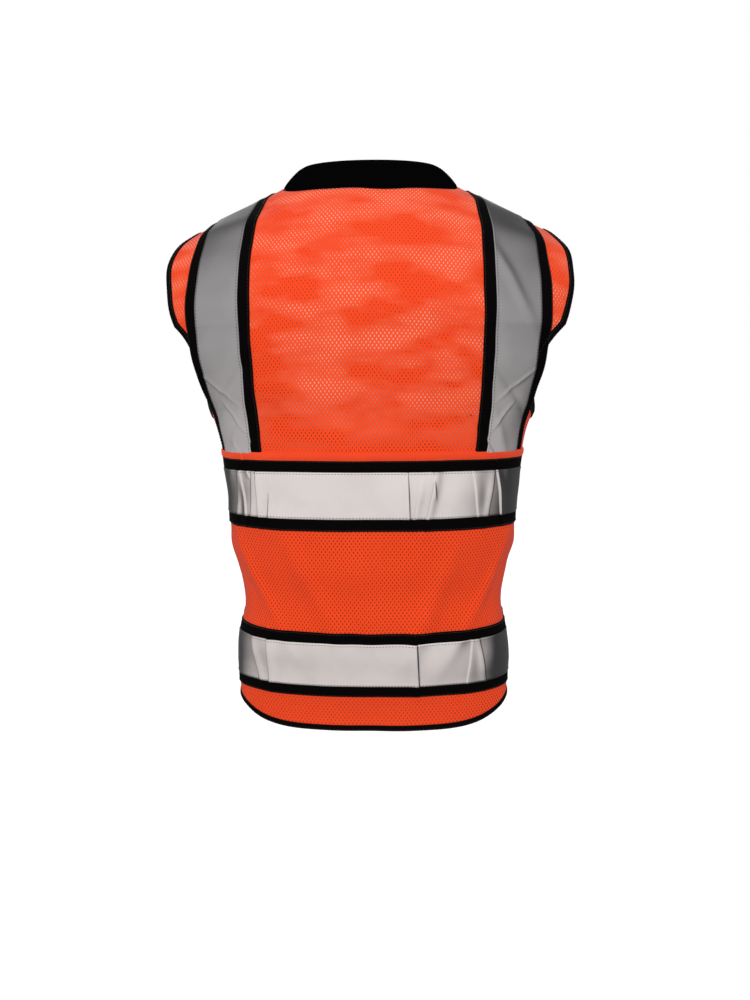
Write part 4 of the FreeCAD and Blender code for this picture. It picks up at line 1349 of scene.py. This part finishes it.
def pocket(name, node, hand, swell):
    """A patch pocket of solid cloth with a bound mouth and a row of stitches."""
    xs, zs = node_range(node)
    x_low, x_high = xs[0] + 0.5 * MM, xs[1] - 3 * MM
    z_low, z_high = zs[0], zs[1] - 1.5 * MM
    body_name = "front_left" if hand == 1 else "front_right"

    def outside(c, r):
        return pocket_face(swell, c, r)

    def inside(c, r):
        return pocket_face(swell, c, r) - 1.0 * MM

    def mouth_in(c, r):
        return pocket_face(swell, c, 0.92 + 0.08 * r) - 1.4 * MM

    def mouth_out(c, r):
        return mouth_in(c, r) + 1.6 * MM + 0.8 * MM * power(1 - (2 * r - 1) ** 2, 0.5)

    sides = (x_low, x_high)
    made = cut_sheet(name, FRONT, sides, (z_low, z_high), inside, outside, hand)
    settle(made, body_name, "orange_fabric", [node])
    wider = (x_low - 0.5 * MM, x_high + 0.5 * MM)
    lip = (z_high - 8 * MM, z_high + 1.5 * MM)
    mouth = cut_sheet(name + "_mouth", FRONT, wider, lip, mouth_in, mouth_out, hand, rows=13)
    settle(mouth, body_name, "black_binding")
    inset = 2.2 * MM
    corners = [
        (x_low + inset, z_high),
        (x_low + inset, z_low + inset),
        (x_high - inset, z_low + inset),
        (x_high - inset, z_high),
    ]
    rows = join_meshes(name + "_stitches", [sheet_row(FRONT, corners, 2.9 * MM, hand)])
    settle(rows, body_name, "orange_fabric", material=ORANGE_THREAD)


def flat_slab(name, corner, sideways, down, out, outline, low, high, bow=0.0, steps=28):
    """A flat piece of cloth with an outline across and down, bowed out a little."""
    across, drop = outline
    c, r = np.meshgrid(np.linspace(0, 1, steps), np.linspace(0, 1, steps))
    left, right = np.interp(r, drop, across[0]), np.interp(r, drop, across[1])
    depth_down = r * drop[-1]
    side_way = left + (right - left) * c
    swell = bow * np.sin(np.pi * c) * np.sin(np.pi * 0.5 * r)
    base = (corner + sideways * side_way[..., None] + down * depth_down[..., None] + out * swell[..., None])
    edge = np.minimum(np.minimum(c, 1 - c), np.minimum(r, 1 - r))
    soft = np.clip(edge / 0.05, 0.25, 1)[..., None]
    middle = (low + high) / 2
    inner = base + out * (middle + (low - middle) * soft)
    outer = base + out * (middle + (high - middle) * soft)
    uv = np.stack([side_way, depth_down], axis=-1)
    obj = slab(name, inner, outer, uv, False)
    fix_normals(obj)
    return obj


def flap_frame():
    """Corner, directions and size of the flap, from the corners of its CAD node."""
    mesh = frame["nodes"]["radio_pocket_flap"].data
    matrix = frame["nodes"]["radio_pocket_flap"].matrix_world
    points = np.array([matrix @ v.co for v in mesh.vertices])
    top = points[points[:, 2] > points[:, 2].max() - 2 * MM]
    left, right = top[top[:, 0].argmin()], top[top[:, 0].argmax()]
    sideways = right - left
    length = np.linalg.norm(sideways)
    sideways = sideways / length
    low = points[points[:, 2] < points[:, 2].min() + 2 * MM].mean(axis=0)
    down = low - (left + right) / 2
    down -= sideways * down.dot(sideways)
    height = np.linalg.norm(down)
    down = down / height
    out = np.cross(sideways, down)
    out *= -np.sign(out[1])
    return left, sideways, down, out, length, height


def radio_flap():
    """The flap over the radio pocket, its hook patch and stitches."""
    corner, sideways, down, out, length, height = flap_frame()
    cut_corner = 9 * MM
    levels = [0, height - cut_corner, height]
    across = ([0, 0, cut_corner], [length, length, length - cut_corner])
    start = corner - out * 0.2 * MM
    outline = (across, levels)
    obj = flat_slab("radio_flap_cloth", start, sideways, down, out, outline, 0, 1.6 * MM, 0.8 * MM)
    settle(obj, "radio_flap", "orange_fabric", ["radio_pocket_flap"])
    half = 11 * MM
    middle = corner + sideways * length / 2
    patch_top = height - cut_corner - 11 * MM
    outline = (([0, 0], [2 * half, 2 * half]), [0, 11 * MM])
    at = middle - sideways * half + down * patch_top - out * 1.0 * MM
    obj = flat_slab("flap_hooks", at, sideways, down, out, outline, 0, 0.8 * MM)
    settle(obj, "radio_flap", "hook_and_loop", ["flap_hook_patch"])
    path = []
    inset = 2.4 * MM
    edge = [
        (inset, 0.5 * MM),
        (inset, height - cut_corner - inset / 3),
        (cut_corner + inset / 3, height - inset),
        (length - cut_corner - inset / 3, height - inset),
        (length - inset, height - cut_corner - inset / 3),
        (length - inset, 0.5 * MM),
    ]
    for (a, b), (c, d) in zip(edge, edge[1:]):
        for t in np.linspace(0, 1, 20):
            across, drop = a + (c - a) * t, b + (d - b) * t
            path.append(start + sideways * across + down * drop + out * 1.9 * MM)
    path = np.array(path)
    obj = join_meshes("radio_flap_stitches", [stitch_row(path, np.tile(out, (len(path), 1)))])
    settle(obj, "radio_flap", "orange_fabric", material=ORANGE_THREAD)


def loop_patch():
    xs, zs = node_range("pocket_loop_patch")
    pocket_xs, pocket_zs = node_range("radio_pocket")

    def under(c, r):
        x = (xs[0] + (xs[1] - xs[0]) * c - pocket_xs[0]) / (pocket_xs[1] - pocket_xs[0])
        z = (zs[0] + (zs[1] - zs[0]) * r - pocket_zs[0]) / (pocket_zs[1] - pocket_zs[0])
        return pocket_face(RADIO_SWELL, x, z) + 0.1 * MM

    def over(c, r):
        return under(c, r) + 0.8 * MM

    obj = cut_sheet("pocket_loops", FRONT, xs, zs, under, over, 1, 21, 15)
    settle(obj, "front_left", "hook_and_loop", ["pocket_loop_patch"])


def mic_tabs():
    """Short straps across the front trims, sewn down at both ends and slack between."""
    xs, zs = node_range("mic_tab_left")

    def under(c, r):
        return TAPE_TOP + 0.2 * MM + 1.8 * MM * power(np.sin(np.pi * c), 1.5)

    def over(c, r):
        return under(c, r) + 1.2 * MM

    both(
        lambda n, hand: cut_sheet(n, FRONT, xs, zs, under, over, hand, 41, 15),
        "front_mic_strap",
        "black_webbing",
        "mic_tab",
    )

    def ends(name, hand):
        parts = []
        top = TAPE_TOP + 1.6 * MM
        for x in (xs[0] + 2.5 * MM, xs[1] - 2.5 * MM):
            corners = [(x, zs[0] + 1.5 * MM), (x, zs[1] - 1.5 * MM)]
            parts.append(sheet_row(FRONT, corners, top, hand))
        return join_meshes(name, parts)

    both(ends, "front_mic_strap_stitches", "black_webbing", None, GREY_THREAD)


def neck_parts():
    """The tape over the neck seam, the blank label and the hanging loop."""
    half = NECK_HALF_WIDTH - 8 * MM
    c, r = np.meshgrid(np.linspace(-1, 1, 161), np.linspace(0, 1, 9))
    z = neck_z(BACK, c * half) - 3 * MM - 10 * MM * (1 - r)
    level = level_at_z(BACK, c * half, z)
    phi = phi_at_x(BACK, c * half, level)
    obj = layer("neck_tape", BACK, phi, level, -1.6 * MM, -0.6 * MM)
    settle(obj, "back", "black_binding", ["neck_seam_tape"])
    xs, zs = node_range("neck_label")
    width = xs[1]
    obj = cut_sheet("blank_label", BACK, (-width, width), zs, -1.3 * MM, -0.8 * MM, 1, 31, 21)
    settle(obj, "back", "label_fabric", ["neck_label"])
    low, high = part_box("hang_loop")
    centre = (low + high) / 2
    radius, wall = (high.x - low.x) / 2 - 0.75 * MM, 0.7 * MM
    around, ring = 64, 16
    turn = np.linspace(0, 2 * math.pi, around, endpoint=False)
    lap = np.linspace(0, 2 * math.pi, ring, endpoint=False)
    wide = signed_power(np.cos(lap), 0.4) * (high.y - low.y) / 2
    tall = np.sin(lap) * wall
    grid = np.stack(
        [
            centre.x + np.outer(np.sin(turn), radius + tall),
            centre.y + np.outer(np.ones(around), wide),
            centre.z + np.outer(np.cos(turn), radius + tall),
        ],
        axis=-1,
    )
    faces = grid_faces(around, ring, closed=True).tolist()
    last = (around - 1) * ring
    faces += [[last + i, last + (i + 1) % ring, (i + 1) % ring, i] for i in range(ring)]
    uv = np.stack(np.broadcast_arrays((turn * radius)[:, None], (wide)[None, :]), axis=-1)
    obj = new_object("hanging_loop", grid.reshape(-1, 3), faces, uv.reshape(-1, 2))
    fix_normals(obj)
    settle(obj, "back", "black_binding", ["hang_loop"])


def zipper_tape(name, hand):
    """The woven tape that carries a row of teeth, with a cord along its edge."""
    low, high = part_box("zipper_tape_left")
    rows, columns = 121, 15
    t, c = np.meshgrid(np.linspace(0, 1, rows), np.linspace(0, 1, columns), indexing="ij")
    x = low.x + (high.x - low.x) * c
    y = high.y + (low.y - high.y) * t
    z = low.z + (high.z - low.z) * t
    thick = 0.45 * MM + 0.5 * MM * ridge(x - low.x - 0.9 * MM, 0.8 * MM)
    middle = np.stack([x * hand, y, z], axis=-1)
    out = np.array([0, -1, 0]) * thick[..., None]
    obj = slab(name, middle - out, middle + out, np.stack([x, z], axis=-1), False)
    fix_normals(obj)
    return obj


HARD_PARTS = {
    "zipper_slider": 0.12,
    "zipper_pull_tab": 0.4,
    "retainer_box": 0.5,
    "insertion_pin": 0.25,
    "top_stop_left": 0.3,
    "top_stop_right": 0.3,
}


def round_hard_parts():
    """Softens the sharp edges of the moulded parts."""
    for name, radius in HARD_PARTS.items():
        bevel = frame["nodes"][name].modifiers.new("bevel", "BEVEL")
        bevel.width = radius * MM
        bevel.segments = 2
        bevel.limit_method = "ANGLE"


RADIO_SWELL = 8 * MM


def main():
    back_lower_panel()
    back_upper_panel()
    both(front_panel, "front_mesh", "orange_mesh", "front_mesh_panel")
    bands()
    trims()
    waist_fold()
    armhole_bindings()
    hem_bindings()
    collars()
    pocket("radio_pocket_cloth", "radio_pocket", 1, RADIO_SWELL)
    pocket("pen_pocket_cloth", "pen_pocket", -1, 3 * MM)
    pocket("lower_pocket_cloth_left", "lower_pocket_left", 1, 5 * MM)
    pocket("lower_pocket_cloth_right", "lower_pocket_right", -1, 5 * MM)
    radio_flap()
    loop_patch()
    mic_tabs()
    neck_parts()
    both(zipper_tape, "front_zipper_tape", "zipper_tape", "zipper_tape")
    slots = {row["node"]: row["material_slot"] for row in frame["record"]["subparts"]}
    for name, obj in frame["nodes"].items():
        dress(obj, slots[name])
    round_hard_parts()


# ---------------------------------------------------------------- stage, light, camera


def seen_by_camera(tree):
    return tree.nodes.new("ShaderNodeLightPath").outputs["Is Camera Ray"]


def floor():
    """A pale floor below the vest, lit so evenly that it has no far edge."""
    bpy.ops.mesh.primitive_plane_add(size=60, location=(0, 0, cad_box[0][2] - 0.12))
    obj = bpy.context.object
    obj.name = "floor"
    n = Nodes("floor_paper", (0.45, 0.45, 0.45), 0.9, gloss=0.0)
    n.shader.inputs["Emission Color"].default_value = (1, 1, 1, 1)
    n.link(n.times(seen_by_camera(n.tree), 0.75), n.shader.inputs["Emission Strength"])
    obj.data.materials.append(n.material)


def room():
    """A soft white room: brightest above, darker below."""
    world = bpy.data.worlds.new("studio")
    bpy.context.scene.world = world
    world.use_nodes = True
    tree = world.node_tree
    background = tree.nodes["Background"]
    background.inputs[0].default_value = (1, 1, 1, 1)
    place = tree.nodes.new("ShaderNodeTexCoord")
    split = tree.nodes.new("ShaderNodeSeparateXYZ")
    tree.links.new(place.outputs["Generated"], split.inputs[0])
    light = tree.nodes.new("ShaderNodeMath")
    light.operation = "MULTIPLY_ADD"
    light.inputs[1].default_value = 0.30
    light.inputs[2].default_value = 0.42
    tree.links.new(split.outputs[2], light.inputs[0])
    choose = tree.nodes.new("ShaderNodeMix")
    tree.links.new(seen_by_camera(tree), choose.inputs[0])
    tree.links.new(light.outputs[0], choose.inputs[2])
    choose.inputs[3].default_value = 1.0
    tree.links.new(choose.outputs[0], background.inputs[1])
    bpy.context.scene.view_settings.view_transform = "Standard"


def area_light(name, location, target, size, power_watts):
    data = bpy.data.lights.new(name, "AREA")
    data.size = size
    data.energy = power_watts
    lamp = bpy.data.objects.new(name, data)
    bpy.context.scene.collection.objects.link(lamp)
    lamp.location = location
    lamp.rotation_euler = (Vector(target) - Vector(location)).to_track_quat("-Z", "Y").to_euler()


def lights():
    middle = (0, 0, 0.33)
    area_light("key", (1.2, 2.2, 1.3), middle, 1.4, 24)
    area_light("fill", (-1.6, 1.8, 0.9), middle, 1.8, 12)
    area_light("front", (0.4, -2.4, 1.4), middle, 2.0, 22)


def camera():
    """Behind the vest, a little over a metre from its back and a little to its right."""
    data = bpy.data.cameras.new("camera")
    cam = bpy.data.objects.new("camera", data)
    bpy.context.scene.collection.objects.link(cam)
    data.lens = 38.3
    distance = cad_box[1][1] + 1.097
    turn, tilt, roll = math.radians(2.5), math.radians(6.05), math.radians(-0.3)
    ahead = Vector((math.sin(turn) * math.cos(tilt), -math.cos(turn) * math.cos(tilt), -math.sin(tilt)))
    side_step = Vector((-math.cos(turn), -math.sin(turn), 0)) * 2.9 * MM
    eye = Vector((-math.sin(turn), math.cos(turn), 0)) * distance
    cam.location = eye + side_step + Vector((0, 0, cad_box[0][2] + 0.378))
    quaternion = ahead.to_track_quat("-Z", "Y") @ Quaternion((0, 0, 1), roll)
    cam.rotation_euler = quaternion.to_euler()
    bpy.context.scene.camera = cam


main()
floor()
room()
lights()
camera()
bpy.context.view_layer.update()
